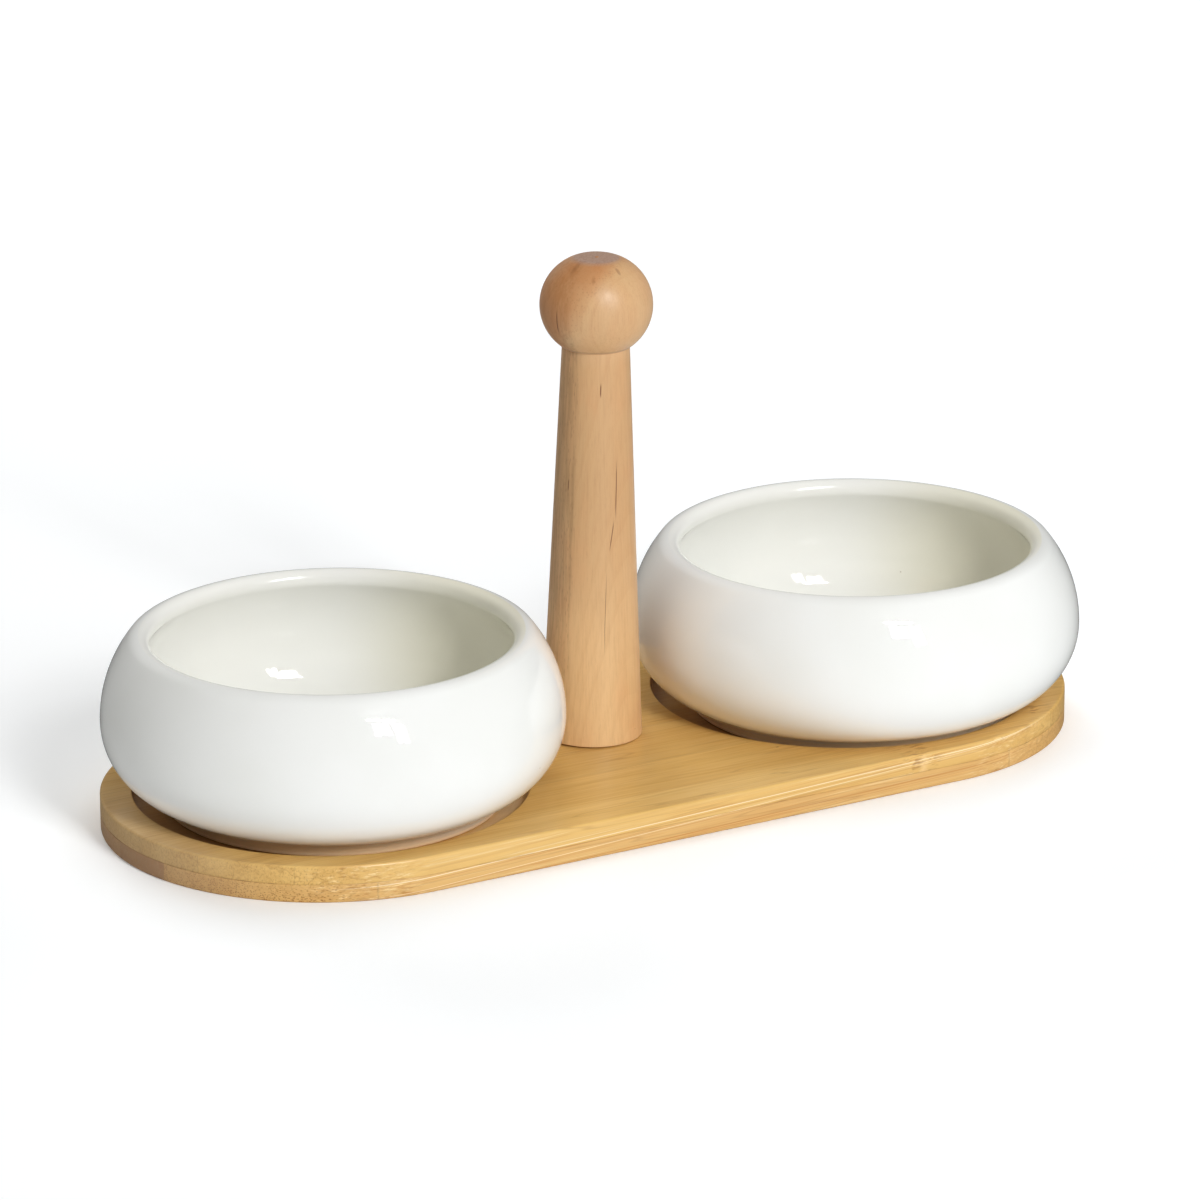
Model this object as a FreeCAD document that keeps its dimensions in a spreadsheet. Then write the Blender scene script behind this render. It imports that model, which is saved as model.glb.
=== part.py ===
import FreeCAD, Part
import math
import os

import Sketcher

# Chip and dip server: a long two-ply bamboo board with a round pocket near each
# end, a glazed bowl standing loosely in each pocket, and a turned handle between
# them, held by a screw from below and leaning a little.
#
# Frame: origin at the centre of the board's underside, X along the board, Z up.
# All sizes are in millimetres.

OUTPUT_FOLDER = "parts"

# Each driving dimension, with the word that names it in the sheet.
DRIVING_DIMENSIONS = {
    # board
    "board_length": 280.0,
    "board_width": 120.0,
    "ply_thickness": 5.0,
    "board_edge_round": 0.7,
    "pocket_centre": 79.0,
    "pocket_radius": 52.5,
    "pocket_depth": 3.2,
    "pocket_edge_round": 0.35,
    # bowl: heights are above the pocket floor, which its foot stands on
    "bowl_height": 46.2,
    "belly_radius": 61.2,
    "belly_height": 22.9,
    "lower_belly_arc": 19.7,
    "upper_belly_arc": 34.9,
    "lip_outer_arc": 4.2,
    "lip_inner_arc": 2.6,
    "floor_height": 7.0,
    "foot_radius": 45.0,
    "foot_width": 4.0,
    "foot_hollow": 2.2,
    "foot_edge_round": 0.8,
    # where each bowl stands in its roomy pocket, from the pocket's centre
    "left_bowl_shift_along": 0.6,
    "left_bowl_shift_across": -0.7,
    "right_bowl_shift_along": 0.8,
    "right_bowl_shift_across": -4.7,
    # handle: heights are above the board
    "handle_foot_radius": 13.5,
    "handle_neck_radius": 9.0,
    "knob_centre_height": 119.2,
    "knob_radius": 15.0,
    "knob_arc": 13.5,
    "knob_flat_radius": 5.5,
    "centre_pip_radius": 0.5,
    "centre_pip_height": 0.25,
    # the handle leans this many degrees towards +X, on the edge of its foot
    "handle_lean": 1.0,
    # threaded insert in the foot of the handle
    "insert_radius": 4.0,
    "insert_length": 13.0,
    "insert_bore_radius": 2.55,
    "insert_flange_radius": 5.5,
    "insert_flange_thickness": 1.2,
    "insert_groove_depth": 0.5,
    "insert_groove_width": 1.6,
    "handle_hole_depth": 15.0,
    # pan-head screw, its washer and the holes they sit in
    "screw_radius": 2.5,
    "screw_length": 18.0,
    "screw_head_radius": 4.75,
    "screw_head_height": 3.2,
    "screw_head_round": 1.6,
    "screw_tip_chamfer": 0.6,
    "drive_slot_width": 1.2,
    "drive_slot_length": 5.0,
    "drive_slot_depth": 1.8,
    "washer_radius": 5.5,
    "washer_bore_radius": 2.65,
    "washer_thickness": 1.0,
    "screw_hole_radius": 3.0,
    "head_hole_radius": 7.0,
}

SHEET = "dimensions"
TOLERANCE = 1e-6

document = FreeCAD.newDocument("chip_and_dip_server")


# ---------------------------------------------------------------- spreadsheet

def make_sheet():
    """Writes every driving dimension into the sheet, as plain text with an alias."""
    sheet = document.addObject("Spreadsheet::Sheet", SHEET)
    for row, (alias, value) in enumerate(DRIVING_DIMENSIONS.items(), start=1):
        sheet.set(f"A{row}", alias)
        sheet.set(f"B{row}", str(value))
        sheet.setAlias(f"B{row}", alias)
    document.recompute()
    return sheet


sheet = make_sheet()


def size(alias):
    """A driving dimension, read back from the sheet."""
    return float(sheet.get(alias))


# ------------------------------------------------------------ sketch helpers

def vector(along, up=0.0):
    return FreeCAD.Vector(along, up, 0.0)


def new_body(label):
    body = document.addObject("PartDesign::Body", label)
    body.Label = label
    return body


def new_sketch(body, name, plane_role, offset_expression=None):
    """A sketch on one of the body's own origin planes."""
    plane = next(f for f in body.Origin.OriginFeatures if f.Role == plane_role)
    sketch = body.newObject("Sketcher::SketchObject", name)
    sketch.AttachmentSupport = [(plane, "")]
    sketch.MapMode = "FlatFace"
    if offset_expression:
        sketch.setExpression("AttachmentOffset.Base.z", offset_expression)
    return sketch


def bind(sketch, constraint, name, expression):
    """Adds a dimension to the sketch and binds it to the sheet."""
    index = sketch.addConstraint(constraint)
    sketch.renameConstraint(index, name)
    sketch.setExpression(f"Constraints.{name}", expression.replace("#", f"{SHEET}."))


def line(sketch, start, end):
    return sketch.addGeometry(Part.LineSegment(vector(*start), vector(*end)), False)


def arc(sketch, centre, radius, start_angle, end_angle):
    """A round stretch, from start_angle anticlockwise to end_angle."""
    circle = Part.Circle(vector(*centre), FreeCAD.Vector(0, 0, 1), radius)
    return sketch.addGeometry(Part.ArcOfCircle(circle, start_angle, end_angle), False)


def point_on(centre, radius, angle):
    return (centre[0] + radius * math.cos(angle), centre[1] + radius * math.sin(angle))


START, END, CENTRE = 1, 2, 3
ORIGIN_POINT = (-1, 1)


def join(sketch, first, first_end, second, second_end):
    sketch.addConstraint(Sketcher.Constraint("Coincident", first, first_end, second, second_end))


def join_smoothly(sketch, first, first_end, second, second_end):
    sketch.addConstraint(Sketcher.Constraint("Tangent", first, first_end, second, second_end))


def level(sketch, *lines):
    for index in lines:
        sketch.addConstraint(Sketcher.Constraint("Horizontal", index))


def plumb(sketch, *lines):
    for index in lines:
        sketch.addConstraint(Sketcher.Constraint("Vertical", index))


def distance_across(sketch, geometry, end, name, expression, value):
    """Binds how far a point lies from the sketch's vertical axis."""
    constraint = Sketcher.Constraint("DistanceX", *ORIGIN_POINT, geometry, end, value)
    bind(sketch, constraint, name, expression)


def distance_up(sketch, geometry, end, name, expression, value):
    """Binds how far a point lies above the sketch's horizontal axis."""
    constraint = Sketcher.Constraint("DistanceY", *ORIGIN_POINT, geometry, end, value)
    bind(sketch, constraint, name, expression)


def on_vertical_axis(sketch, geometry, end):
    sketch.addConstraint(Sketcher.Constraint("PointOnObject", geometry, end, -2))


def on_horizontal_axis(sketch, geometry, end):
    sketch.addConstraint(Sketcher.Constraint("PointOnObject", geometry, end, -1))


# ----------------------------------------------------------- feature helpers

def pad(body, sketch, name, length_expression):
    feature = body.newObject("PartDesign::Pad", name)
    feature.Profile = sketch
    feature.setExpression("Length", length_expression.replace("#", f"{SHEET}."))
    document.recompute()
    return feature


def pocket(body, sketch, name, depth_expression):
    """Cuts the sketch down into the body, and makes sure that it cuts something."""
    volume_before = body.Shape.Volume
    feature = body.newObject("PartDesign::Pocket", name)
    feature.Profile = sketch
    feature.setExpression("Length", depth_expression.replace("#", f"{SHEET}."))
    document.recompute()
    if body.Shape.Volume > volume_before - TOLERANCE:
        feature.Reversed = True
        document.recompute()
    if body.Shape.Volume > volume_before - TOLERANCE:
        raise RuntimeError(f"{name} cuts nothing")
    return feature


def revolve(body, sketch, name):
    feature = body.newObject("PartDesign::Revolution", name)
    feature.Profile = sketch
    feature.ReferenceAxis = (sketch, ["V_Axis"])
    feature.Angle = 360.0
    document.recompute()
    return feature


def edges_where(feature, test):
    """Names of the feature's edges whose shape passes the test."""
    found = []
    for number, edge in enumerate(feature.Shape.Edges, start=1):
        if test(edge):
            found.append(f"Edge{number}")
    if not found:
        raise RuntimeError(f"no edge of {feature.Label} passes the test")
    return found


def round_edges(body, base, name, test, radius_expression):
    feature = body.newObject("PartDesign::Fillet", name)
    feature.Base = (base, edges_where(base, test))
    feature.setExpression("Radius", radius_expression.replace("#", f"{SHEET}."))
    document.recompute()
    return feature


def lies_at_height(edge, height):
    box = edge.BoundBox
    return abs(box.ZMin - height) < 1e-3 and abs(box.ZMax - height) < 1e-3


def is_circle_edge(edge, radius):
    curve = edge.Curve
    return isinstance(curve, Part.Circle) and abs(curve.Radius - radius) < 1e-3


# --------------------------------------------------------------------- board

def draw_board_outline(sketch):
    """Two parallel sides joined by a half circle at each end."""
    radius = size("board_width") / 2
    half_straight = size("board_length") / 2 - radius
    quarter = math.pi / 2
    near_side = line(sketch, (-half_straight, -radius), (half_straight, -radius))
    right_end = arc(sketch, (half_straight, 0), radius, -quarter, quarter)
    far_side = line(sketch, (half_straight, radius), (-half_straight, radius))
    left_end = arc(sketch, (-half_straight, 0), radius, quarter, 3 * quarter)
    join_smoothly(sketch, near_side, END, right_end, START)
    join_smoothly(sketch, right_end, END, far_side, START)
    join_smoothly(sketch, far_side, END, left_end, START)
    join_smoothly(sketch, left_end, END, near_side, START)
    level(sketch, near_side)
    on_horizontal_axis(sketch, right_end, CENTRE)
    sketch.addConstraint(
        Sketcher.Constraint("Symmetric", left_end, CENTRE, right_end, CENTRE, *ORIGIN_POINT)
    )
    bind(sketch, Sketcher.Constraint("Radius", right_end, radius), "end_radius", "#board_width / 2")
    distance_across(
        sketch, right_end, CENTRE, "half_straight",
        "(#board_length - #board_width) / 2", half_straight,
    )


def draw_circle(sketch, name, centre_along, radius_expression, radius, centre_expression=None):
    """A circle on the sketch's horizontal axis."""
    circle = Part.Circle(vector(centre_along), FreeCAD.Vector(0, 0, 1), radius)
    index = sketch.addGeometry(circle, False)
    if centre_expression is None:
        join(sketch, index, CENTRE, *ORIGIN_POINT)
    else:
        on_horizontal_axis(sketch, index, CENTRE)
        if centre_along > 0:
            constraint = Sketcher.Constraint("DistanceX", *ORIGIN_POINT, index, CENTRE, centre_along)
        else:
            constraint = Sketcher.Constraint("DistanceX", index, CENTRE, *ORIGIN_POINT, -centre_along)
        bind(sketch, constraint, f"{name}_centre", centre_expression)
    bind(sketch, Sketcher.Constraint("Radius", index, radius), f"{name}_radius", radius_expression)


def build_board_top_ply():
    """The upper ply: a pocket for each bowl, and a clearance hole for the screw."""
    body = new_body("board_top_ply")
    outline = new_sketch(body, "top_ply_outline", "XY_Plane")
    draw_board_outline(outline)
    pad(body, outline, "top_ply_blank", "#ply_thickness")

    pockets = new_sketch(body, "bowl_pocket_circles", "XY_Plane", f"{SHEET}.ply_thickness")
    for name, side in (("left", -1), ("right", 1)):
        draw_circle(
            pockets, name, side * size("pocket_centre"),
            "#pocket_radius", size("pocket_radius"), "#pocket_centre",
        )
    pocket(body, pockets, "bowl_pockets", "#pocket_depth")

    screw_hole = new_sketch(body, "screw_hole_circle", "XY_Plane", f"{SHEET}.ply_thickness")
    draw_circle(screw_hole, "screw_hole", 0, "#screw_hole_radius", size("screw_hole_radius"))
    drilled = pocket(body, screw_hole, "screw_hole", "#ply_thickness")

    top = size("ply_thickness")
    pocket_radius = size("pocket_radius")
    screw_hole_radius = size("screw_hole_radius")

    def is_outer_top_edge(edge):
        if not lies_at_height(edge, top):
            return False
        return not (is_circle_edge(edge, pocket_radius) or is_circle_edge(edge, screw_hole_radius))

    eased = round_edges(body, drilled, "eased_top_edge", is_outer_top_edge, "#board_edge_round")
    round_edges(
        body, eased, "eased_pocket_edges",
        lambda edge: lies_at_height(edge, top) and is_circle_edge(edge, pocket_radius),
        "#pocket_edge_round",
    )
    body.setExpression("Placement.Base.z", f"{SHEET}.ply_thickness")
    return body


def build_board_bottom_ply():
    """The lower ply: flat underneath, with a hole that takes the screw head."""
    body = new_body("board_bottom_ply")
    outline = new_sketch(body, "bottom_ply_outline", "XY_Plane")
    draw_board_outline(outline)
    pad(body, outline, "bottom_ply_blank", "#ply_thickness")
    head_hole = new_sketch(body, "head_hole_circle", "XY_Plane", f"{SHEET}.ply_thickness")
    draw_circle(head_hole, "head_hole", 0, "#head_hole_radius", size("head_hole_radius"))
    drilled = pocket(body, head_hole, "head_hole", "#ply_thickness")
    head_hole_radius = size("head_hole_radius")
    round_edges(
        body, drilled, "eased_bottom_edge",
        lambda edge: lies_at_height(edge, 0) and not is_circle_edge(edge, head_hole_radius),
        "#board_edge_round",
    )
    return body


# --------------------------------------------------------------------- bowls

def draw_bowl_section(sketch):
    """Half the bowl's section, from the underside round the lip to the inside floor."""
    height = size("bowl_height")
    belly_radius = size("belly_radius")
    belly_height = size("belly_height")
    lower_arc = size("lower_belly_arc")
    upper_arc = size("upper_belly_arc")
    lip_outer = size("lip_outer_arc")
    lip_inner = size("lip_inner_arc")
    floor_height = size("floor_height")
    foot_radius = size("foot_radius")
    foot_inner_radius = foot_radius - size("foot_width")
    foot_hollow = size("foot_hollow")

    # Outside: the belly's two arcs meet at its widest point, and the lip's two
    # arcs meet at the bowl's highest point.
    lower_centre = (belly_radius - lower_arc, belly_height)
    upper_centre = (belly_radius - upper_arc, belly_height)
    lip_outer_rise = height - lip_outer - belly_height
    lip_turn = math.asin(lip_outer_rise / (upper_arc - lip_outer))
    lip_radius = upper_centre[0] + (upper_arc - lip_outer) * math.cos(lip_turn)
    lip_outer_centre = (lip_radius, height - lip_outer)
    lip_inner_centre = (lip_radius, height - lip_inner)

    # Inside: the wall's arc shares the outer arc's centre and meets the lip's arc
    # from the other side.
    reach = math.hypot(lip_radius - upper_centre[0], lip_inner_centre[1] - belly_height)
    inner_upper_arc = reach - lip_inner
    inner_lower_arc = belly_height - floor_height
    inner_turn = math.atan2(lip_inner_centre[1] - belly_height, lip_radius - upper_centre[0])
    inner_lower_centre = (upper_centre[0] + inner_upper_arc - inner_lower_arc, belly_height)

    foot_top_angle = -math.acos((foot_radius - lower_centre[0]) / lower_arc)
    foot_top = point_on(lower_centre, lower_arc, foot_top_angle)
    half_turn = math.pi
    quarter = math.pi / 2

    underside = line(sketch, (0, foot_hollow), (foot_inner_radius, foot_hollow))
    foot_inside = line(sketch, (foot_inner_radius, foot_hollow), (foot_inner_radius, 0))
    foot_contact = line(sketch, (foot_inner_radius, 0), (foot_radius, 0))
    foot_outside = line(sketch, (foot_radius, 0), foot_top)
    lower_belly = arc(sketch, lower_centre, lower_arc, foot_top_angle, 0)
    upper_belly = arc(sketch, upper_centre, upper_arc, 0, lip_turn)
    lip_outside = arc(sketch, lip_outer_centre, lip_outer, lip_turn, quarter)
    lip_inside = arc(sketch, lip_inner_centre, lip_inner, quarter, half_turn + inner_turn)
    inner_wall = arc(sketch, upper_centre, inner_upper_arc, 0, inner_turn)
    inner_corner = arc(sketch, inner_lower_centre, inner_lower_arc, -quarter, 0)
    inner_floor = line(sketch, (inner_lower_centre[0], floor_height), (0, floor_height))
    axis = line(sketch, (0, floor_height), (0, foot_hollow))

    join(sketch, underside, END, foot_inside, START)
    join(sketch, foot_inside, END, foot_contact, START)
    join(sketch, foot_contact, END, foot_outside, START)
    join(sketch, foot_outside, END, lower_belly, START)
    join_smoothly(sketch, lower_belly, END, upper_belly, START)
    join_smoothly(sketch, upper_belly, END, lip_outside, START)
    join_smoothly(sketch, lip_outside, END, lip_inside, START)
    join_smoothly(sketch, lip_inside, END, inner_wall, END)
    join_smoothly(sketch, inner_wall, START, inner_corner, END)
    join_smoothly(sketch, inner_corner, START, inner_floor, START)
    join(sketch, inner_floor, END, axis, START)
    join(sketch, axis, END, underside, START)
    level(sketch, underside, foot_contact, inner_floor)
    plumb(sketch, foot_inside, foot_outside, axis)
    on_vertical_axis(sketch, axis, START)
    on_horizontal_axis(sketch, foot_contact, START)
    join(sketch, upper_belly, CENTRE, inner_wall, CENTRE)

    distance_up(sketch, underside, START, "foot_hollow", "#foot_hollow", foot_hollow)
    distance_across(
        sketch, foot_inside, END, "foot_inner_radius",
        "#foot_radius - #foot_width", foot_inner_radius,
    )
    distance_across(sketch, foot_contact, END, "foot_radius", "#foot_radius", foot_radius)
    distance_across(sketch, lower_belly, END, "belly_radius", "#belly_radius", belly_radius)
    distance_up(sketch, lower_belly, END, "belly_height", "#belly_height", belly_height)
    distance_up(sketch, lower_belly, CENTRE, "lower_level", "#belly_height", belly_height)
    distance_up(sketch, inner_wall, START, "inner_level", "#belly_height", belly_height)
    distance_up(sketch, lip_outside, END, "bowl_height", "#bowl_height", height)
    distance_up(sketch, inner_floor, END, "floor_height", "#floor_height", floor_height)
    for index, radius, alias in (
        (lower_belly, lower_arc, "lower_belly_arc"),
        (upper_belly, upper_arc, "upper_belly_arc"),
        (lip_outside, lip_outer, "lip_outer_arc"),
        (lip_inside, lip_inner, "lip_inner_arc"),
    ):
        bind(sketch, Sketcher.Constraint("Radius", index, radius), alias, f"#{alias}")
    sketch.addConstraint(
        Sketcher.Constraint("Vertical", lip_outside, CENTRE, lip_outside, END)
    )


def build_bowl(label, side, shift):
    """A thick-lipped round bowl on a low foot ring, standing in its pocket."""
    body = new_body(label)
    section = new_sketch(body, f"{label}_section", "XZ_Plane")
    draw_bowl_section(section)
    turned = revolve(body, section, f"{label}_turned")
    foot_radius = size("foot_radius")
    foot_inner_radius = foot_radius - size("foot_width")

    def is_foot_edge(edge):
        if not lies_at_height(edge, 0):
            return False
        return is_circle_edge(edge, foot_radius) or is_circle_edge(edge, foot_inner_radius)

    rounded = round_edges(body, turned, f"{label}_foot_round", is_foot_edge, "#foot_edge_round")
    foot_top_height = size("belly_height") - math.sqrt(
        size("lower_belly_arc") ** 2
        - (foot_radius - size("belly_radius") + size("lower_belly_arc")) ** 2
    )
    round_edges(
        body, rounded, f"{label}_foot_cove",
        lambda edge: lies_at_height(edge, foot_top_height) and is_circle_edge(edge, foot_radius),
        "#foot_edge_round",
    )
    body.setExpression(
        "Placement.Base.x", f"{side} * {SHEET}.pocket_centre + {SHEET}.{shift}_along"
    )
    body.setExpression("Placement.Base.y", f"{SHEET}.{shift}_across")
    body.setExpression("Placement.Base.z", f"2 * {SHEET}.ply_thickness - {SHEET}.pocket_depth")
    return body


# -------------------------------------------------------------------- handle

FOOT_LIFT = "#handle_foot_radius * sin(#handle_lean)"
WASHER_CLEARANCE = "#washer_radius * sin(#handle_lean)"


def lean_with_handle(body, height_expression):
    """Leans a body about Y, with its own origin on the handle's axis at that height."""
    body.Placement = FreeCAD.Placement(
        FreeCAD.Vector(0, 0, 0), FreeCAD.Rotation(FreeCAD.Vector(0, 1, 0), size("handle_lean"))
    )
    below_foot = f"(2 * #ply_thickness + {FOOT_LIFT} - ({height_expression}))"
    for target, expression in (
        ("Placement.Rotation.Angle", "#handle_lean * 1 deg"),
        ("Placement.Base.x", f"-{below_foot} * tan(#handle_lean)"),
        ("Placement.Base.z", height_expression),
    ):
        body.setExpression(target, expression.replace("#", f"{SHEET}."))


def draw_handle_section(sketch):
    """Half the handle's section: a tapering post under a knob with a flat top."""
    foot_radius = size("handle_foot_radius")
    neck_radius = size("handle_neck_radius")
    knob_height = size("knob_centre_height")
    knob_arc = size("knob_arc")
    arc_centre = (size("knob_radius") - knob_arc, knob_height)
    flat_radius = size("knob_flat_radius")
    pip_radius = size("centre_pip_radius")
    pip_height = size("centre_pip_height")
    hole_radius = size("insert_radius")
    hole_depth = size("handle_hole_depth")
    flange_radius = size("insert_flange_radius")
    flange_depth = size("insert_flange_thickness")

    neck_angle = -math.acos((neck_radius - arc_centre[0]) / knob_arc)
    flat_angle = math.acos((flat_radius - arc_centre[0]) / knob_arc)
    neck = point_on(arc_centre, knob_arc, neck_angle)
    flat_height = point_on(arc_centre, knob_arc, flat_angle)[1]

    # The pip left at the middle of the flat is a shallow cap of this radius.
    pip_arc = (pip_radius**2 + pip_height**2) / (2 * pip_height)
    pip_centre = (0, flat_height + pip_height - pip_arc)
    pip_start = math.acos(pip_radius / pip_arc)

    hole_end = line(sketch, (0, hole_depth), (hole_radius, hole_depth))
    hole_wall = line(sketch, (hole_radius, hole_depth), (hole_radius, flange_depth))
    flange_seat = line(sketch, (hole_radius, flange_depth), (flange_radius, flange_depth))
    flange_wall = line(sketch, (flange_radius, flange_depth), (flange_radius, 0))
    base = line(sketch, (flange_radius, 0), (foot_radius, 0))
    taper = line(sketch, (foot_radius, 0), neck)
    knob = arc(sketch, arc_centre, knob_arc, neck_angle, flat_angle)
    flat = line(sketch, (flat_radius, flat_height), (pip_radius, flat_height))
    pip = arc(sketch, pip_centre, pip_arc, pip_start, math.pi / 2)
    axis = line(sketch, (0, flat_height + pip_height), (0, hole_depth))

    join(sketch, hole_end, END, hole_wall, START)
    join(sketch, hole_wall, END, flange_seat, START)
    join(sketch, flange_seat, END, flange_wall, START)
    join(sketch, flange_wall, END, base, START)
    join(sketch, base, END, taper, START)
    join(sketch, taper, END, knob, START)
    join(sketch, knob, END, flat, START)
    join(sketch, flat, END, pip, START)
    join(sketch, pip, END, axis, START)
    join(sketch, axis, END, hole_end, START)
    level(sketch, hole_end, flange_seat, base, flat)
    plumb(sketch, hole_wall, flange_wall, axis)
    on_vertical_axis(sketch, axis, START)
    on_vertical_axis(sketch, pip, CENTRE)
    on_horizontal_axis(sketch, base, START)

    distance_up(sketch, hole_end, END, "hole_depth", "#handle_hole_depth", hole_depth)
    distance_across(sketch, hole_end, END, "hole_radius", "#insert_radius", hole_radius)
    distance_up(sketch, flange_seat, END, "flange_depth", "#insert_flange_thickness", flange_depth)
    distance_across(
        sketch, flange_seat, END, "flange_radius", "#insert_flange_radius", flange_radius
    )
    distance_across(sketch, base, END, "foot_radius", "#handle_foot_radius", foot_radius)
    distance_across(sketch, taper, END, "neck_radius", "#handle_neck_radius", neck_radius)
    distance_across(
        sketch, knob, CENTRE, "knob_offset", "#knob_radius - #knob_arc", arc_centre[0]
    )
    distance_up(sketch, knob, CENTRE, "knob_height", "#knob_centre_height", knob_height)
    bind(sketch, Sketcher.Constraint("Radius", knob, knob_arc), "knob_arc", "#knob_arc")
    distance_across(sketch, knob, END, "flat_radius", "#knob_flat_radius", flat_radius)
    distance_across(sketch, flat, END, "pip_radius", "#centre_pip_radius", pip_radius)
    bind(
        sketch,
        Sketcher.Constraint("DistanceY", flat, END, axis, START, pip_height),
        "pip_height", "#centre_pip_height",
    )


def build_turned_handle():
    body = new_body("turned_handle")
    section = new_sketch(body, "handle_section", "XZ_Plane")
    draw_handle_section(section)
    revolve(body, section, "handle_turned")
    lean_with_handle(body, f"2 * #ply_thickness + {FOOT_LIFT}")
    return body


def build_handle_insert():
    """A flanged brass insert with a gripping groove, flush with the handle's base."""
    body = new_body("handle_insert")
    flange_sketch = new_sketch(body, "insert_flange_circles", "XY_Plane")
    draw_circle(
        flange_sketch, "flange", 0, "#insert_flange_radius", size("insert_flange_radius")
    )
    draw_circle(flange_sketch, "bore", 0, "#insert_bore_radius", size("insert_bore_radius"))
    pad(body, flange_sketch, "insert_flange", "#insert_flange_thickness")

    sleeve_sketch = new_sketch(body, "insert_sleeve_circles", "XY_Plane")
    draw_circle(sleeve_sketch, "sleeve", 0, "#insert_radius", size("insert_radius"))
    draw_circle(sleeve_sketch, "bore", 0, "#insert_bore_radius", size("insert_bore_radius"))
    pad(body, sleeve_sketch, "insert_sleeve", "#insert_length")

    groove_sketch = new_sketch(
        body, "insert_groove_circles", "XY_Plane",
        f"({SHEET}.insert_length + {SHEET}.insert_groove_width) / 2",
    )
    draw_circle(groove_sketch, "outer", 0, "#insert_radius + 1", size("insert_radius") + 1)
    draw_circle(
        groove_sketch, "root", 0, "#insert_radius - #insert_groove_depth",
        size("insert_radius") - size("insert_groove_depth"),
    )
    pocket(body, groove_sketch, "insert_groove", "#insert_groove_width")
    lean_with_handle(body, f"2 * #ply_thickness + {FOOT_LIFT}")
    return body


# ------------------------------------------------------------------ fasteners

def draw_slot(sketch, name, half_along, half_across, along_expression, across_expression):
    """A rectangle centred on the origin."""
    near = line(sketch, (-half_along, -half_across), (half_along, -half_across))
    right = line(sketch, (half_along, -half_across), (half_along, half_across))
    far = line(sketch, (half_along, half_across), (-half_along, half_across))
    left = line(sketch, (-half_along, half_across), (-half_along, -half_across))
    for first, second in ((near, right), (right, far), (far, left), (left, near)):
        join(sketch, first, END, second, START)
    level(sketch, near, far)
    plumb(sketch, left, right)
    sketch.addConstraint(
        Sketcher.Constraint("Symmetric", near, START, far, START, *ORIGIN_POINT)
    )
    distance_across(sketch, near, END, f"{name}_along", along_expression, half_along)
    distance_up(sketch, far, START, f"{name}_across", across_expression, half_across)


def build_handle_screw():
    """A pan-head machine screw with a cross recess, its head at the bottom."""
    body = new_body("handle_screw")
    head_sketch = new_sketch(body, "screw_head_circle", "XY_Plane")
    draw_circle(head_sketch, "head", 0, "#screw_head_radius", size("screw_head_radius"))
    head = pad(body, head_sketch, "screw_head", "#screw_head_height")
    head_radius = size("screw_head_radius")
    round_edges(
        body, head, "screw_head_dome",
        lambda edge: lies_at_height(edge, 0) and is_circle_edge(edge, head_radius),
        "#screw_head_round",
    )

    shank_sketch = new_sketch(body, "screw_shank_circle", "XY_Plane")
    draw_circle(shank_sketch, "shank", 0, "#screw_radius", size("screw_radius"))
    shank = pad(body, shank_sketch, "screw_shank", "#screw_head_height + #screw_length")
    tip_height = size("screw_head_height") + size("screw_length")
    tip = body.newObject("PartDesign::Chamfer", "screw_tip")
    tip.Base = (shank, edges_where(shank, lambda edge: lies_at_height(edge, tip_height)))
    tip.setExpression("Size", f"{SHEET}.screw_tip_chamfer")
    document.recompute()

    half_length = size("drive_slot_length") / 2
    half_width = size("drive_slot_width") / 2
    slots = (
        ("drive_slot_along", half_length, half_width, "#drive_slot_length / 2", "#drive_slot_width / 2"),
        ("drive_slot_across", half_width, half_length, "#drive_slot_width / 2", "#drive_slot_length / 2"),
    )
    for name, half_along, half_across, along_expression, across_expression in slots:
        slot_sketch = new_sketch(body, f"{name}_outline", "XY_Plane", f"{SHEET}.drive_slot_depth")
        draw_slot(
            slot_sketch, name, half_along, half_across, along_expression, across_expression
        )
        pocket(body, slot_sketch, name, "#drive_slot_depth")
    lean_with_handle(
        body,
        f"#ply_thickness - {WASHER_CLEARANCE}"
        " - (#washer_thickness + #screw_head_height) * cos(#handle_lean)",
    )
    return body


def build_handle_washer():
    body = new_body("handle_washer")
    ring_sketch = new_sketch(body, "washer_circles", "XY_Plane")
    draw_circle(ring_sketch, "outer", 0, "#washer_radius", size("washer_radius"))
    draw_circle(ring_sketch, "bore", 0, "#washer_bore_radius", size("washer_bore_radius"))
    pad(body, ring_sketch, "washer_ring", "#washer_thickness")
    lean_with_handle(
        body, f"#ply_thickness - {WASHER_CLEARANCE} - #washer_thickness * cos(#handle_lean)"
    )
    return body


# ----------------------------------------------------------------- the object

def build_all():
    return [
        build_board_top_ply(),
        build_board_bottom_ply(),
        build_bowl("left_bowl", -1, "left_bowl_shift"),
        build_bowl("right_bowl", 1, "right_bowl_shift"),
        build_turned_handle(),
        build_handle_insert(),
        build_handle_screw(),
        build_handle_washer(),
    ]


def check(sub_parts):
    """Stops before anything is written if a feature failed or a shape is bad."""
    for item in document.Objects:
        if "Invalid" in item.State or "Error" in item.State:
            raise RuntimeError(f"{item.Name} failed: {item.State}")
    for body in sub_parts:
        shape = body.Shape
        if shape.isNull() or not shape.isValid() or len(shape.Solids) != 1:
            raise RuntimeError(f"{body.Label} is not one valid solid")


def export(sub_parts):
    os.makedirs(OUTPUT_FOLDER, exist_ok=True)
    for body in sub_parts:
        body.Shape.exportStep(os.path.join(OUTPUT_FOLDER, f"{body.Label}.step"))
        box = body.Shape.optimalBoundingBox(False)
        print(
            f"{body.Label}: {box.XLength:.2f} x {box.YLength:.2f} x {box.ZLength:.2f} mm, "
            f"{body.Shape.Volume / 1000:.2f} cm3"
        )


sub_parts = build_all()
document.recompute()
check(sub_parts)
export(sub_parts)
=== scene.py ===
import math

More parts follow.
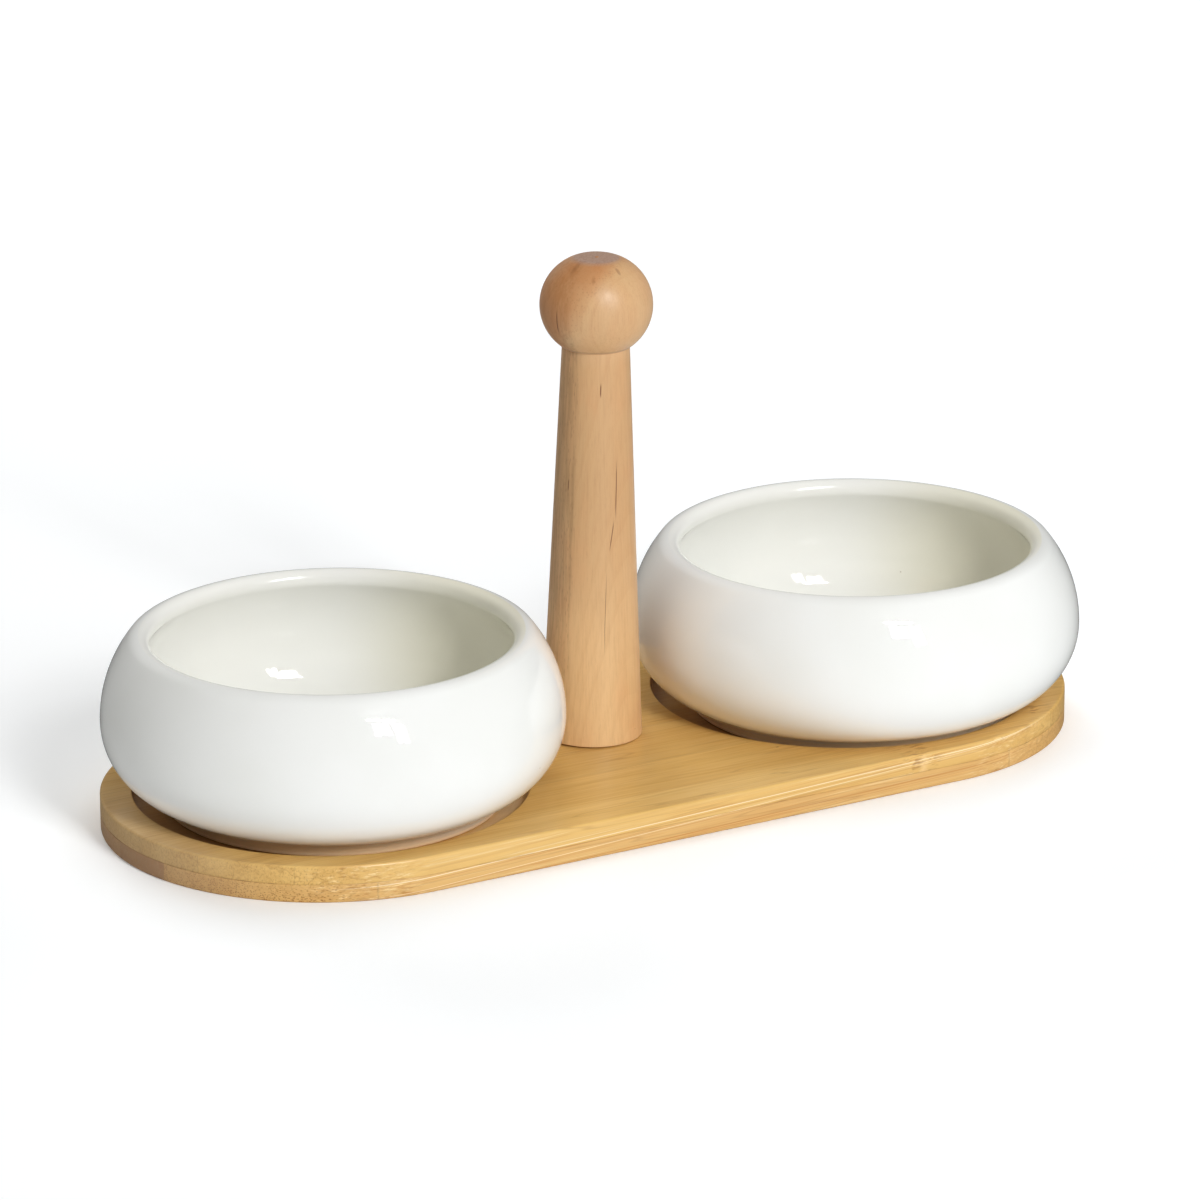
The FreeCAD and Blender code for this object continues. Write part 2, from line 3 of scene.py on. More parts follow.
import bmesh
import bpy
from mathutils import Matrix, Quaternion, Vector


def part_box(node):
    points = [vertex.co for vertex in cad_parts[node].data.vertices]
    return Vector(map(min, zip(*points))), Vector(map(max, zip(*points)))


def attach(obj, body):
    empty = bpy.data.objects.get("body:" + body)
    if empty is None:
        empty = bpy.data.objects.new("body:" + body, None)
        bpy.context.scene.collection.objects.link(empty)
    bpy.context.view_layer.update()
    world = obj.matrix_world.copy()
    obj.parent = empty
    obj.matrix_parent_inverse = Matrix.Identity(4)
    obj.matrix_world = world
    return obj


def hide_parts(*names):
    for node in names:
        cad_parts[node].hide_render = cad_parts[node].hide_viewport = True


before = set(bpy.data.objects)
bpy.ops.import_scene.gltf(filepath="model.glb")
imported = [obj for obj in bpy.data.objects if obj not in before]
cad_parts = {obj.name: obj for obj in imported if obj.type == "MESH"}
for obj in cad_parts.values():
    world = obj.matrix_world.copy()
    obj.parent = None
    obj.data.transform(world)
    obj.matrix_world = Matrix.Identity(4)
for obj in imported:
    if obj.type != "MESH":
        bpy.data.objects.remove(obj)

# Chip and dip server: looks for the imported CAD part. Lengths are in metres unless a
# name or a comment says mm, and each piece is placed by its CAD node's own box.

MM = 0.001
TURN = 2 * math.pi
QUARTER = math.pi / 2
SAME_POINT = 1e-7
SHARP_ANGLE = math.radians(32)


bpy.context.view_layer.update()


# ------------------------------------------------------------------- geometry

def arc_points(centre, radius, start, end, steps):
    """Points of an arc in a section, from one angle to another, both ends included."""
    made = []
    for step in range(steps + 1):
        angle = start + (end - start) * step / steps
        made.append((centre[0] + radius * math.cos(angle), centre[1] + radius * math.sin(angle)))
    return made


def straight_points(start, end, steps):
    """Points along a straight stretch of a section, both ends included."""
    made = []
    for step in range(steps + 1):
        share = step / steps
        made.append((
            start[0] + (end[0] - start[0]) * share,
            start[1] + (end[1] - start[1]) * share,
        ))
    return made


def without_repeats(points):
    """The points, leaving out any that fall on the one before."""
    kept = [points[0]]
    for point in points[1:]:
        if math.dist(point, kept[-1]) > SAME_POINT:
            kept.append(point)
    return kept


def new_piece(name, mesh_builder, material, body, replaced):
    """Turns a bmesh into a smooth-shaded piece that stands for a CAD node."""
    bmesh.ops.recalc_face_normals(mesh_builder, faces=mesh_builder.faces)
    mesh = bpy.data.meshes.new(name)
    mesh_builder.to_mesh(mesh)
    mesh_builder.free()
    mesh.shade_smooth()
    mesh.set_sharp_from_angle(angle=SHARP_ANGLE)
    mesh.materials.append(material)
    piece = bpy.data.objects.new(name, mesh)
    bpy.context.scene.collection.objects.link(piece)
    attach(piece, body)
    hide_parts(replaced)


def lathe(section, segments, place):
    """A closed bmesh turned from a section of (radius, height) points that starts and
    ends on the axis. place(radius, height, angle) gives each point's position."""
    builder = bmesh.new()
    rings = []
    for radius, height in section:
        if radius < SAME_POINT:
            rings.append([builder.verts.new(place(0.0, height, 0.0))])
            continue
        ring = []
        for number in range(segments):
            ring.append(builder.verts.new(place(radius, height, TURN * number / segments)))
        rings.append(ring)
    for lower, upper in zip(rings, rings[1:]):
        for number in range(segments):
            after = (number + 1) % segments
            corners_of_face = []
            for ring, index in ((lower, number), (lower, after), (upper, after), (upper, number)):
                vertex = ring[index % len(ring)]
                if vertex not in corners_of_face:
                    corners_of_face.append(vertex)
            if len(corners_of_face) > 2:
                builder.faces.new(corners_of_face)
    return builder


# ---------------------------------------------------------------------- nodes

def rgb(red, green, blue):
    """A linear colour from the eight-bit shades that a screen shows."""
    shades = []
    for shade in (red, green, blue):
        part = shade / 255
        shades.append(part / 12.92 if part <= 0.04045 else ((part + 0.055) / 1.055) ** 2.4)
    return (*shades, 1.0)


class Finish:
    """A procedural material, with short calls for the nodes it is made of."""

    def __init__(self, name):
        self.material = bpy.data.materials.new(name)
        self.material.use_nodes = True
        self.tree = self.material.node_tree
        self.tree.nodes.clear()
        self.shader = self.node("ShaderNodeBsdfPrincipled")
        self.output = self.node("ShaderNodeOutputMaterial")
        self.tree.links.new(self.shader.outputs["BSDF"], self.output.inputs["Surface"])
        place = self.node("ShaderNodeTexCoord")
        self.position = place.outputs["Object"]
        self.normal = place.outputs["Normal"]
        self.x, self.y, self.z = self.parts(self.position)
        self.colour = None

    def node(self, kind, inputs=(), **settings):
        made = self.tree.nodes.new(kind)
        for key, value in settings.items():
            setattr(made, key, value)
        for key, value in dict(inputs).items():
            self.feed(made.inputs[key], value)
        return made

    def feed(self, socket, value):
        if isinstance(value, bpy.types.NodeSocket):
            self.tree.links.new(value, socket)
        else:
            socket.default_value = value

    def surface(self, **inputs):
        """Feeds the finish's colour and the sockets named, with _ for a space."""
        self.feed(self.shader.inputs["Base Color"], self.colour)
        for key, value in inputs.items():
            self.feed(self.shader.inputs[key.replace("_", " ")], value)

    def math(self, operation, *values):
        return self.node("ShaderNodeMath", enumerate(values), operation=operation).outputs[0]

    def add(self, first, second):
        return self.math("ADD", first, second)

    def less(self, first, second):
        return self.math("SUBTRACT", first, second)

    def times(self, first, *others):
        for other in others:
            first = self.math("MULTIPLY", first, other)
        return first

    def length(self, first, second):
        """How long a line is that goes so far along each of two axes."""
        return self.math("SQRT", self.add(self.times(first, first), self.times(second, second)))

    def parts(self, vector):
        return self.node("ShaderNodeSeparateXYZ", {0: vector}).outputs[:]

    def vector(self, x, y, z):
        return self.node("ShaderNodeCombineXYZ", {0: x, 1: y, 2: z}).outputs[0]

    def stretched(self, x, y, z):
        """The position, with so many units to the metre along each axis."""
        inputs = {0: self.position, 1: (x, y, z)}
        return self.node("ShaderNodeVectorMath", inputs, operation="MULTIPLY").outputs[0]

    def noise(self, vector, detail=2.0, roughness=0.5):
        """Smooth noise from 0 to 1, about one feature to each unit of the vector."""
        made = self.node(
            "ShaderNodeTexNoise",
            {"Vector": vector, "Scale": 1.0, "Detail": detail, "Roughness": roughness},
        )
        return made.outputs[0]

    def cells(self, vector):
        """Distance to the nearest of a scatter of points, about one to each unit."""
        return self.node("ShaderNodeTexVoronoi", {"Vector": vector, "Scale": 1.0}).outputs["Distance"]

    def dice(self, number):
        """Three steady random numbers from 0 to 1 for each whole number."""
        made = self.node("ShaderNodeTexWhiteNoise", {"W": number}, noise_dimensions="1D")
        return self.node("ShaderNodeSeparateColor", {0: made.outputs["Color"]}).outputs[:]

    def rise(self, value, low, high, to_low=0.0, to_high=1.0):
        """Turns a range into another range, with a soft start and end."""
        made = self.node(
            "ShaderNodeMapRange",
            {"Value": value, "From Min": low, "From Max": high, "To Min": to_low, "To Max": to_high},
            interpolation_type="SMOOTHSTEP",
        )
        return made.outputs[0]

    def fall(self, value, low, high):
        """1 below the range and 0 above it, with a soft start and end."""
        return self.rise(value, low, high, 1.0, 0.0)

    def from_table(self, row, rows, first_row):
        """Three numbers from 0 to 1 looked up by whole row number in a short table."""
        made = self.node("ShaderNodeValToRGB")
        ramp = made.color_ramp
        ramp.interpolation = "CONSTANT"
        for place, numbers in enumerate(rows):
            position = place / len(rows)
            stop = ramp.elements[place] if place < 2 else ramp.elements.new(position)
            stop.position = position
            stop.color = (*numbers, 1.0)
        share = self.times(self.add(row, 0.5 - first_row), 1 / len(rows))
        self.feed(made.inputs["Fac"], share)
        return self.node("ShaderNodeSeparateColor", {0: made.outputs["Color"]}).outputs[:]

    def bump_at(self, value, middle, half_width):
        """1 where the value is at the middle, falling softly to 0 half a width away."""
        away = self.math("ABSOLUTE", self.less(value, middle))
        return self.fall(away, 0.0, half_width)

    def mix(self, share, first, second):
        """The first colour where the share is 0, and the second where it is 1."""
        made = self.node("ShaderNodeMix", {0: share, 6: first, 7: second}, data_type="RGBA")
        return made.outputs[2]

    def tint(self, colour, *shares):
        """Takes the finish's own colour towards another, by the product of the shares."""
        self.colour = self.mix(self.times(*shares), self.colour, colour)

    def relief(self, height, depth):
        """Feeds fine relief of that depth to the shader."""
        made = self.node("ShaderNodeBump", {"Strength": 1.0, "Distance": depth, "Height": height})
        self.tree.links.new(made.outputs["Normal"], self.shader.inputs["Normal"])


# --------------------------------------------------------------- bamboo finish

STRIP_WIDTH = 20 * MM
NODE_SPAN = 280 * MM
NODE_WIDTH = 7.5 * MM
NODE_CORE_WIDTH = 2.6 * MM
FIRST_STRIP = -4


def on_rim(finish):
    """1 on the board's outer wall and 0 well inside its outline."""
    low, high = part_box("board_top_ply")
    radius = (high.y - low.y) / 2
    half_straight = (high.x - low.x) / 2 - radius
    past_end = finish.math("MAXIMUM", finish.less(finish.math("ABSOLUTE", finish.x), half_straight), 0.0)
    return finish.rise(finish.length(past_end, finish.y), radius - 4 * MM, radius - 2 * MM)


def bamboo_finish(name, joint_y, slope, bundle_size, face_height, strips, light, deep, shade):
    """Lacquered bamboo ply: strips side by side along X, each with its own tone, its own
    culm node and its own scatter of fibre bundles, which show as dots or dashes where
    they are cut across and as long threads where they are cut along. A joint between
    strips lies at joint_y, the fibres climb by slope along X, bundle_size is the bundles'
    spacing along Y and Z, and pockets are routed into the face at face_height (0 for
    none). Each row of strips is a strip's darkness, the place of its node along X and the
    strength of its dots. The colour runs from light to deep, and towards shade in the
    darker strips."""
    finish = Finish(name)
    across = finish.times(finish.less(finish.y, joint_y), 1 / STRIP_WIDTH)
    strip = finish.math("FLOOR", across)
    tone, node_share, dot_share = finish.from_table(strip, strips, FIRST_STRIP)
    shift = finish.times(finish.add(strip, 9.0), 0.37)

    # The fibres wander from a straight line, run out of the face by a small slope,
    # and swell round the culm node.
    wander = finish.less(finish.noise(finish.stretched(17, 42, 60)), 0.5)
    ripple = finish.less(finish.noise(finish.stretched(330, 420, 420)), 0.5)
    node_x = finish.times(finish.less(node_share, 0.5), NODE_SPAN)
    ragged_x = finish.add(finish.x, finish.times(ripple, 7 * MM))
    node_zone = finish.bump_at(ragged_x, node_x, NODE_WIDTH)
    node_core = finish.bump_at(ragged_x, node_x, NODE_CORE_WIDTH)
    sway = finish.add(finish.times(wander, 1.9 * MM), finish.times(ripple, node_zone, 2.4 * MM))
    y = finish.add(finish.y, sway)
    z = finish.add(finish.less(finish.z, finish.times(finish.x, slope)), finish.times(sway, 0.12))

    def threads(along, across_fibres, detail, roughness, offset=0.0):
        return finish.noise(
            finish.vector(
                finish.add(finish.times(finish.x, along), finish.add(shift, offset)),
                finish.times(y, across_fibres),
                finish.times(z, across_fibres),
            ),
            detail, roughness,
        )

    broad = threads(4.5, 70.0, 2.0, 0.5)
    streak = threads(12.0, 1150.0, 3.0, 0.62)
    fine = threads(9.0, 1900.0, 3.0, 0.66, 3.0)
    vein = threads(7.0, 150.0, 2.0, 0.55, 7.0)

    # Cut across, at the rounded ends, the bundles stand out; on the face they hide.
    normal_x, _, normal_z = finish.parts(finish.normal)
    facing_x = finish.math("ABSOLUTE", normal_x)
    facing_z = finish.math("ABSOLUTE", normal_z)
    cut_across = finish.rise(facing_x, 0.24, 0.52)
    on_edge = finish.fall(facing_z, 0.3, 0.8)
    bundle = finish.vector(
        finish.add(finish.times(finish.x, 14.0), shift),
        finish.times(finish.y, 1 / bundle_size[0]),
        finish.times(finish.z, 1 / bundle_size[1]),
    )
    fading_right = finish.rise(finish.x, 60 * MM, 120 * MM, 1.0, 0.45)
    dots = finish.times(finish.fall(finish.cells(bundle), 0.16, 0.46), fading_right)
    to_skin = finish.rise(finish.z, 0.0, 4.5 * MM, 1.0, 0.55)
    dot_strength = finish.times(cut_across, on_edge, dot_share, to_skin)

    finish.colour = finish.mix(finish.rise(broad, 0.32, 0.68), light, deep)
    finish.tint(shade, finish.rise(tone, 0.0, 1.0, 0.0, 0.75))
    finish.tint(rgb(184, 124, 52), finish.rise(streak, 0.44, 0.72, 0.0, 0.30))
    finish.tint(rgb(246, 212, 142), finish.rise(streak, 0.24, 0.42, 0.20, 0.0))
    finish.tint(rgb(150, 92, 36), finish.bump_at(vein, 0.52, 0.014), 0.26)
    long_grain = finish.times(on_edge, finish.less(1.0, cut_across))
    finish.tint(rgb(250, 220, 168), long_grain, 0.06)
    finish.tint(rgb(252, 226, 170), long_grain, finish.rise(fine, 0.54, 0.68, 0.0, 0.60))
    finish.tint(rgb(196, 132, 62), long_grain, finish.rise(fine, 0.30, 0.44, 0.55, 0.0))
    on_front = finish.times(long_grain, finish.math("LESS_THAN", finish.y, 0.0))
    for thread_height, climb, half_width, strength, thread_colour in FRONT_THREADS:
        climbing = finish.less(finish.z, finish.times(finish.x, climb))
        level = finish.add(climbing, finish.times(sway, 0.10))
        line = finish.bump_at(level, thread_height * MM, half_width * MM)
        finish.tint(thread_colour, line, on_front, strength)

    # Where the rim turns away from the fibres, they are cut at a slant into short dashes.
    slanted = finish.times(
        finish.times(finish.rise(facing_x, 0.04, 0.16), finish.fall(facing_x, 0.40, 0.62)),
        finish.times(on_edge, fading_right),
    )
    slash_place = finish.vector(
        finish.add(finish.times(finish.x, 190.0), shift),
        finish.times(y, 600.0),
        finish.times(z, 1700.0),
    )
    slash = finish.noise(slash_place, 3.0, 0.6)
    finish.tint(rgb(255, 230, 172), slanted, finish.rise(slash, 0.55, 0.70, 0.0, 0.75))
    finish.tint(rgb(176, 118, 50), slanted, finish.rise(slash, 0.30, 0.44, 0.60, 0.0))
    finish.tint(rgb(168, 118, 58), finish.rise(fine, 0.42, 0.66, 0.0, 0.14))
    finish.tint(rgb(158, 104, 46), dots, dot_strength)

    # The culm node: a pale swelling with short brown dashes round it.
    dash_place = finish.vector(
        finish.times(ragged_x, 1 / (4.2 * MM)),
        finish.times(y, 1 / (1.3 * MM)),
        finish.times(z, 1 / (0.9 * MM)),
    )
    dash = finish.fall(finish.cells(dash_place), 0.22, 0.58)
    finish.tint(rgb(250, 220, 168), node_core, on_edge, 0.32)
    finish.tint(rgb(150, 92, 36), dash, finish.times(node_zone, 0.60))

    # A thin joint between the strips, and a few specks of darker fibre.
    joint = finish.fall(finish.math("PINGPONG", across, 0.5), 0.0, 0.007)
    finish.tint(rgb(120, 76, 38), joint, finish.rise(streak, 0.3, 0.6, 0.08, 0.30))
    speck = finish.rise(finish.cells(finish.stretched(55, 100, 100)), 0.018, 0.032, 0.7, 0.0)
    finish.tint(rgb(110, 66, 30), speck)

    # The routed pockets are a shade redder than the lacquered face. A tint fitted to the photo goes
    # across each: painted shade, dark at the left, and painted light, pale at the right.
    routed = finish.fall(finish.z, face_height - 0.5 * MM, face_height - 0.15 * MM)
    routed = finish.times(routed, finish.less(1.0, on_rim(finish)))
    in_right_half = finish.math("GREATER_THAN", finish.x, 0.0)
    pocket_x = finish.less(
        finish.add(finish.x, POCKET_CENTRE), finish.times(in_right_half, 2 * POCKET_CENTRE)
    )
    painted_shade_left = finish.rise(pocket_x, -40 * MM, 10 * MM, 0.52, 0.0)
    finish.tint(rgb(176, 110, 58), routed, 0.15)
    finish.tint(rgb(118, 66, 28), routed, painted_shade_left)
    painted_light_right = finish.rise(pocket_x, 10 * MM, 45 * MM, 0.0, 0.8)
    finish.tint(rgb(255, 226, 182), routed, painted_light_right)

    # A greyer tint at the left end, fitted to the photo.
    grey_end = finish.rise(finish.x, -140 * MM, -116 * MM, 0.30, 0.0)
    finish.tint(rgb(166, 146, 134), grey_end)

    # The glue line, where the two plies meet, is a broken dark thread that is clearest
    # where the fibres are cut across.
    glue_place = finish.bump_at(finish.z, GLUE_HEIGHT, 0.17 * MM)
    broken = finish.rise(finish.noise(finish.stretched(110, 110, 0), 3.0, 0.7), 0.46, 0.60, 0.15, 1.0)
    glue_strength = finish.times(broken, finish.add(finish.times(cut_across, 0.60), 0.22))
    finish.tint(rgb(92, 52, 22), glue_place, glue_strength)

    finish.surface(
        Roughness=finish.rise(streak, 0.2, 0.8, 0.30, 0.42),
        Coat_Weight=0.35,
        Coat_Roughness=0.22,
    )
    height = finish.add(finish.times(fine, 0.35), finish.times(streak, 0.45))
    finish.relief(finish.less(height, finish.times(finish.add(dots, dash), 0.12)), 0.05 * MM)
    return finish.material


# ------------------------------------------------------------------ other wood

HANDLE_LEAN = math.radians(1.0)
RING_WIDTH = 1.9 * MM
CREASE_HEIGHT = 108.6 * MM
QUARTER_SAWN_ANGLE = math.radians(178)


def turned_wood_finish(name, foot):
    """Pale close-grained hardwood turned on a lathe, its grain running up the handle.
    foot is the middle of the handle's foot; angles are round the axis, 0 along +X."""
    finish = Finish(name)
    height = finish.less(finish.z, foot.z)
    x = finish.less(finish.less(finish.x, foot.x), finish.times(height, math.tan(HANDLE_LEAN)))
    y = finish.less(finish.y, foot.y)
    angle = finish.math("ARCTAN2", y, x)

    wander = finish.less(finish.noise(finish.stretched(48, 48, 13)), 0.5)
    wave = finish.less(finish.noise(finish.stretched(120, 120, 75)), 0.5)

    # Growth rings about a pith that lies behind the handle and slants a little, so they
    # draw long lines on its sides and a small closed figure on the front of the knob.
    pith_x = finish.add(finish.less(x, finish.times(height, 0.07)), 27 * MM)
    pith_y = finish.less(finish.add(y, finish.times(height, 0.12)), 50 * MM)
    ring_place = finish.add(
        finish.times(finish.length(pith_x, pith_y), 1 / RING_WIDTH),
        finish.add(finish.times(wander, 1.8), finish.times(wave, 0.5)),
    )
    ring = finish.math("FRACT", ring_place)
    ring_tone = finish.dice(finish.math("FLOOR", ring_place))[0]
    late_wood = finish.times(finish.rise(ring, 0.35, 0.95), finish.fall(ring, 0.95, 1.0))

    fibre = finish.noise(finish.stretched(2600, 2600, 55), 3.0, 0.65)
    grain = finish.noise(finish.stretched(1050, 1050, 20), 3.0, 0.6)
    broad = finish.noise(finish.stretched(110, 110, 12))
    blush = finish.noise(finish.stretched(70, 70, 32), 3.0, 0.6)
    fleck = finish.fall(finish.cells(finish.stretched(1500, 1500, 420)), 0.10, 0.38)

    # The quarter-sawn side shows its rings as close vertical lines and short flecks.
    to_side = finish.math("COSINE", finish.less(angle, QUARTER_SAWN_ANGLE))
    on_side = finish.rise(finish.add(to_side, finish.times(wander, 0.10)), 0.80, 0.87)
    # Darker heartwood at the back of the knob, cut off on a slant, and a warmer patch on
    # its upper right.
    slant = finish.add(
        finish.add(finish.times(x, -0.41), finish.times(y, 0.80)),
        finish.times(finish.less(height, KNOB_CENTRE), 0.43),
    )
    heart = finish.rise(
        finish.add(slant, finish.times(finish.add(wave, finish.times(wander, 0.5)), 7 * MM)),
        -4.5 * MM, 2.5 * MM,
    )
    on_knob = finish.rise(height, 104 * MM, 110 * MM)
    heart = finish.times(heart, on_knob)

    # Lighter and warmer towards the foot: painted light bounced up from the board.
    finish.colour = finish.mix(finish.rise(height, 0.0, 75 * MM), rgb(230, 192, 140), rgb(200, 160, 114))
    finish.tint(rgb(203, 165, 121), finish.rise(height, 103 * MM, 109 * MM))
    finish.tint(rgb(202, 150, 100), finish.rise(broad, 0.35, 0.70, 0.0, 0.22))
    finish.tint(rgb(216, 150, 102), finish.rise(blush, 0.45, 0.75, 0.0, 0.26))
    finish.tint(rgb(176, 116, 62), late_wood, finish.rise(ring_tone, 0.0, 1.0, 0.02, 0.11))
    finish.tint(rgb(172, 116, 66), finish.rise(grain, 0.44, 0.72, 0.0, 0.11))
    finish.tint(rgb(140, 90, 50), finish.rise(fibre, 0.45, 0.75, 0.0, 0.13))
    side_lines = finish.rise(grain, 0.40, 0.62, 0.10, 0.36)
    side_strength = finish.times(on_side, finish.rise(height, 8 * MM, 60 * MM, 0.5, 1.0))
    finish.tint(rgb(140, 106, 66), side_strength, side_lines)
    finish.tint(rgb(110, 70, 40), side_strength, fleck, 0.22)
    finish.tint(rgb(120, 74, 42), fleck, 0.04)
    finish.tint(rgb(180, 114, 62), heart, finish.rise(blush, 0.3, 0.7, 0.45, 0.72))
    warm_side = finish.times(
        finish.rise(finish.add(x, finish.times(wander, 12 * MM)), 3 * MM, 12 * MM),
        finish.rise(height, 120 * MM, 128 * MM),
    )
    finish.tint(rgb(190, 118, 60), warm_side, finish.rise(blush, 0.3, 0.7, 0.20, 0.50))
    knob_fleck = finish.rise(finish.cells(finish.stretched(1300, 1300, 1100)), 0.14, 0.36, 0.24, 0.0)
    edge_of_heart = finish.times(heart, finish.less(1.0, heart), 4.0)
    finish.tint(
        rgb(118, 70, 36),
        knob_fleck, finish.times(on_knob, finish.add(finish.times(edge_of_heart, 0.6), 0.2)),
    )

    # A dark line in the crease between neck and knob: painted shade.
    painted_crease_shade = finish.bump_at(height, CREASE_HEIGHT, 0.4 * MM)
    finish.tint(rgb(128, 80, 44), painted_crease_shade, 0.40)

    def seen_from(angle_deg):
        """How far sideways of the axis a point is as seen from an angle, and 1 on the
        near side of the handle or 0 on the far side."""
        turn = math.radians(angle_deg)
        sideways = finish.add(finish.times(x, -math.sin(turn)), finish.times(y, math.cos(turn)))
        outward = finish.add(finish.times(x, math.cos(turn)), finish.times(y, math.sin(turn)))
        return sideways, finish.math("GREATER_THAN", outward, 0.0)

    # Pin knots on the knob and one by the foot: angle, height and radius in mm, strength.
    for angle_deg, knot_height, radius, strength in (
        (-124, 128.7, 0.85, 0.32),
        (-83, 130.2, 0.55, 0.40),
        (-161, 130.9, 1.2, 0.35),
        (-60, 3.0, 0.26, 0.85),
    ):
        sideways, facing = seen_from(angle_deg)
        up = finish.times(finish.less(height, knot_height * MM), 0.62)
        reach = finish.add(finish.length(sideways, up), finish.times(wave, 1.1 * MM))
        knot = finish.rise(reach, 0.2 * radius * MM, radius * MM, strength, 0.0)
        finish.tint(rgb(116, 66, 30), knot, facing)

    # Hairline drying cracks: angle at the middle, drift in mm sideways for each mm up,
    # lowest and highest point in mm, and half the width in mm.
    cracks = None
    for angle_deg, drift, bottom, top, half_width in (
        (-163.5, 0.0, 113.6, 121.4, 0.30),
        (-111.5, 0.0, 96.0, 100.4, 0.24),
        (-87.0, 0.035, 61.6, 79.8, 0.24),
        (-94.5, 0.17, 53.6, 63.0, 0.20),
        (-160.5, 0.0, 70.0, 73.8, 0.24),
        (-104.0, 0.03, 24.0, 50.0, 0.10),
    ):
        sideways, facing = seen_from(angle_deg)
        middle = (bottom + top) / 2 * MM
        sideways = finish.less(sideways, finish.times(finish.less(height, middle), drift))
        sideways = finish.add(sideways, finish.times(wave, 0.5 * MM))
        share_up = finish.math("ABSOLUTE", finish.less(height, middle))
        half_length = (top - bottom) / 2 * MM
        taper = finish.fall(share_up, 0.35 * half_length, half_length)
        line = finish.times(finish.bump_at(sideways, 0.0, half_width * MM), taper, facing)
        cracks = line if cracks is None else finish.math("MAXIMUM", cracks, line)
    finish.tint(rgb(96, 46, 16), cracks, 0.95)

    # End grain on the flat where the handle was parted off, a touch paler on the pip.
    facing_up = finish.parts(finish.normal)[2]
    on_flat = finish.times(finish.rise(facing_up, 0.90, 0.97), finish.rise(height, 130 * MM, 131.5 * MM))
    pores = finish.noise(finish.stretched(1900, 1900, 1900), 3.0, 0.7)
    flat_colour = finish.mix(finish.rise(pores, 0.35, 0.65), rgb(178, 152, 136), rgb(154, 122, 106))
    finish.tint(flat_colour, on_flat, 0.85)
    finish.tint(rgb(222, 200, 186), on_flat, finish.rise(height, 132.3 * MM, 132.5 * MM))

    finish.surface(
        Roughness=finish.rise(grain, 0.25, 0.75, 0.40, 0.50),
        Coat_Weight=0.10,
        Coat_Roughness=0.30,
        Sheen_Weight=0.12,
        Sheen_Roughness=0.35,
    )
    relief = finish.add(finish.times(fibre, 0.4), finish.times(grain, 0.5))
    finish.relief(finish.less(relief, finish.times(cracks, 1.5)), 0.045 * MM)
    return finish.material


# ------------------------------------------------------------------- porcelain

def porcelain_finish(name, node):
    """White glazed porcelain, a little creamier inside the bowl, with painted warm shade on the inside's
    right.
    A painted warm reflection of the board lies low on the outside, towards the foot and most on the left.
    The ground foot is unglazed, its colour warmed by painted reflected light. The lip is a little duller
    than the rest."""
    finish = Finish(name)
    low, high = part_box(node)
    middle = (low + high) / 2
    away_x = finish.less(finish.x, middle.x)
    away_y = finish.less(finish.y, middle.y)
    normal_x, normal_y, _ = finish.parts(finish.normal)
    outward = finish.add(finish.times(normal_x, away_x), finish.times(normal_y, away_y))
    inside = finish.fall(outward, 0.0, 8 * MM)
    cloud = finish.noise(finish.stretched(32, 32, 32))
    speck = finish.rise(finish.cells(finish.stretched(60, 60, 60)), 0.008, 0.018, 0.5, 0.0)
    # The unglazed foot, warmed beyond its own colour by painted reflected light from the board.
    bare_foot_and_painted_warmth = finish.fall(finish.z, low.z + 0.6 * MM, low.z + 1.6 * MM)
    # Painted warm reflection of the board, low on the outside of the belly and most on the left.
    painted_board_reflection = finish.times(
        finish.fall(finish.z, low.z + 1.6 * MM, low.z + 8.0 * MM), finish.less(1.0, inside)
    )
    painted_board_reflection = finish.times(painted_board_reflection, finish.rise(away_x, -20 * MM, 40 * MM, 1.0, 0.3))
    # Painted warm shade on the right of the inside.
    painted_warm_shade_right = finish.times(inside, finish.rise(away_x, 24 * MM, 54 * MM, 0.0, 0.75))
    grit = finish.noise(finish.stretched(2500, 2500, 2500))
    finish.colour = finish.mix(finish.rise(cloud, 0.3, 0.7), rgb(235, 236, 234), rgb(232, 233, 230))
    finish.tint(rgb(238, 238, 233), inside, 0.8)
    # Painted warm shade on the inside's right. Further down: painted reflection of the board low on the
    # outside, and painted reflected light on the foot.
    finish.tint(rgb(228, 224, 200), painted_warm_shade_right)
    finish.tint(rgb(150, 130, 105), speck)
    finish.tint(rgb(244, 214, 168), painted_board_reflection)
    finish.tint(rgb(252, 223, 182), bare_foot_and_painted_warmth, 0.9)
    skin = finish.noise(finish.stretched(260, 260, 260), 1.0)
    worn_rim = finish.rise(finish.z, high.z - 5 * MM, high.z - 3 * MM, 0.0, 0.14)
    roughness = finish.add(finish.times(bare_foot_and_painted_warmth, 0.5), finish.rise(skin, 0.3, 0.7, 0.035, 0.055))
    finish.surface(Roughness=finish.add(roughness, worn_rim))
    relief = finish.add(finish.times(skin, 0.35), finish.times(grit, bare_foot_and_painted_warmth, 0.6))
    finish.relief(relief, 0.012 * MM)
    return finish.material


# ----------------------------------------------------------------------- metal

def metal_finish(name, shade, worn_shade, roughness):
    """Metal with turning marks round the screw's axis and a slight tarnish."""
    finish = Finish(name)
    radius = finish.length(finish.x, finish.y)
    marks = finish.vector(finish.times(radius, 9000.0), 0.0, finish.times(finish.z, 7000.0))
    turning = finish.noise(marks)
    tarnish = finish.noise(finish.stretched(420, 420, 420), 3.0, 0.6)
    finish.colour = finish.mix(finish.rise(tarnish, 0.45, 0.75), shade, worn_shade)
    dulled = finish.rise(tarnish, 0.3, 0.8, roughness, roughness + 0.15)
    finish.surface(Metallic=1.0, Roughness=finish.add(finish.times(turning, 0.12), dulled))
    finish.relief(turning, 0.01 * MM)
    return finish.material


# ----------------------------------------------------------------------- bowls

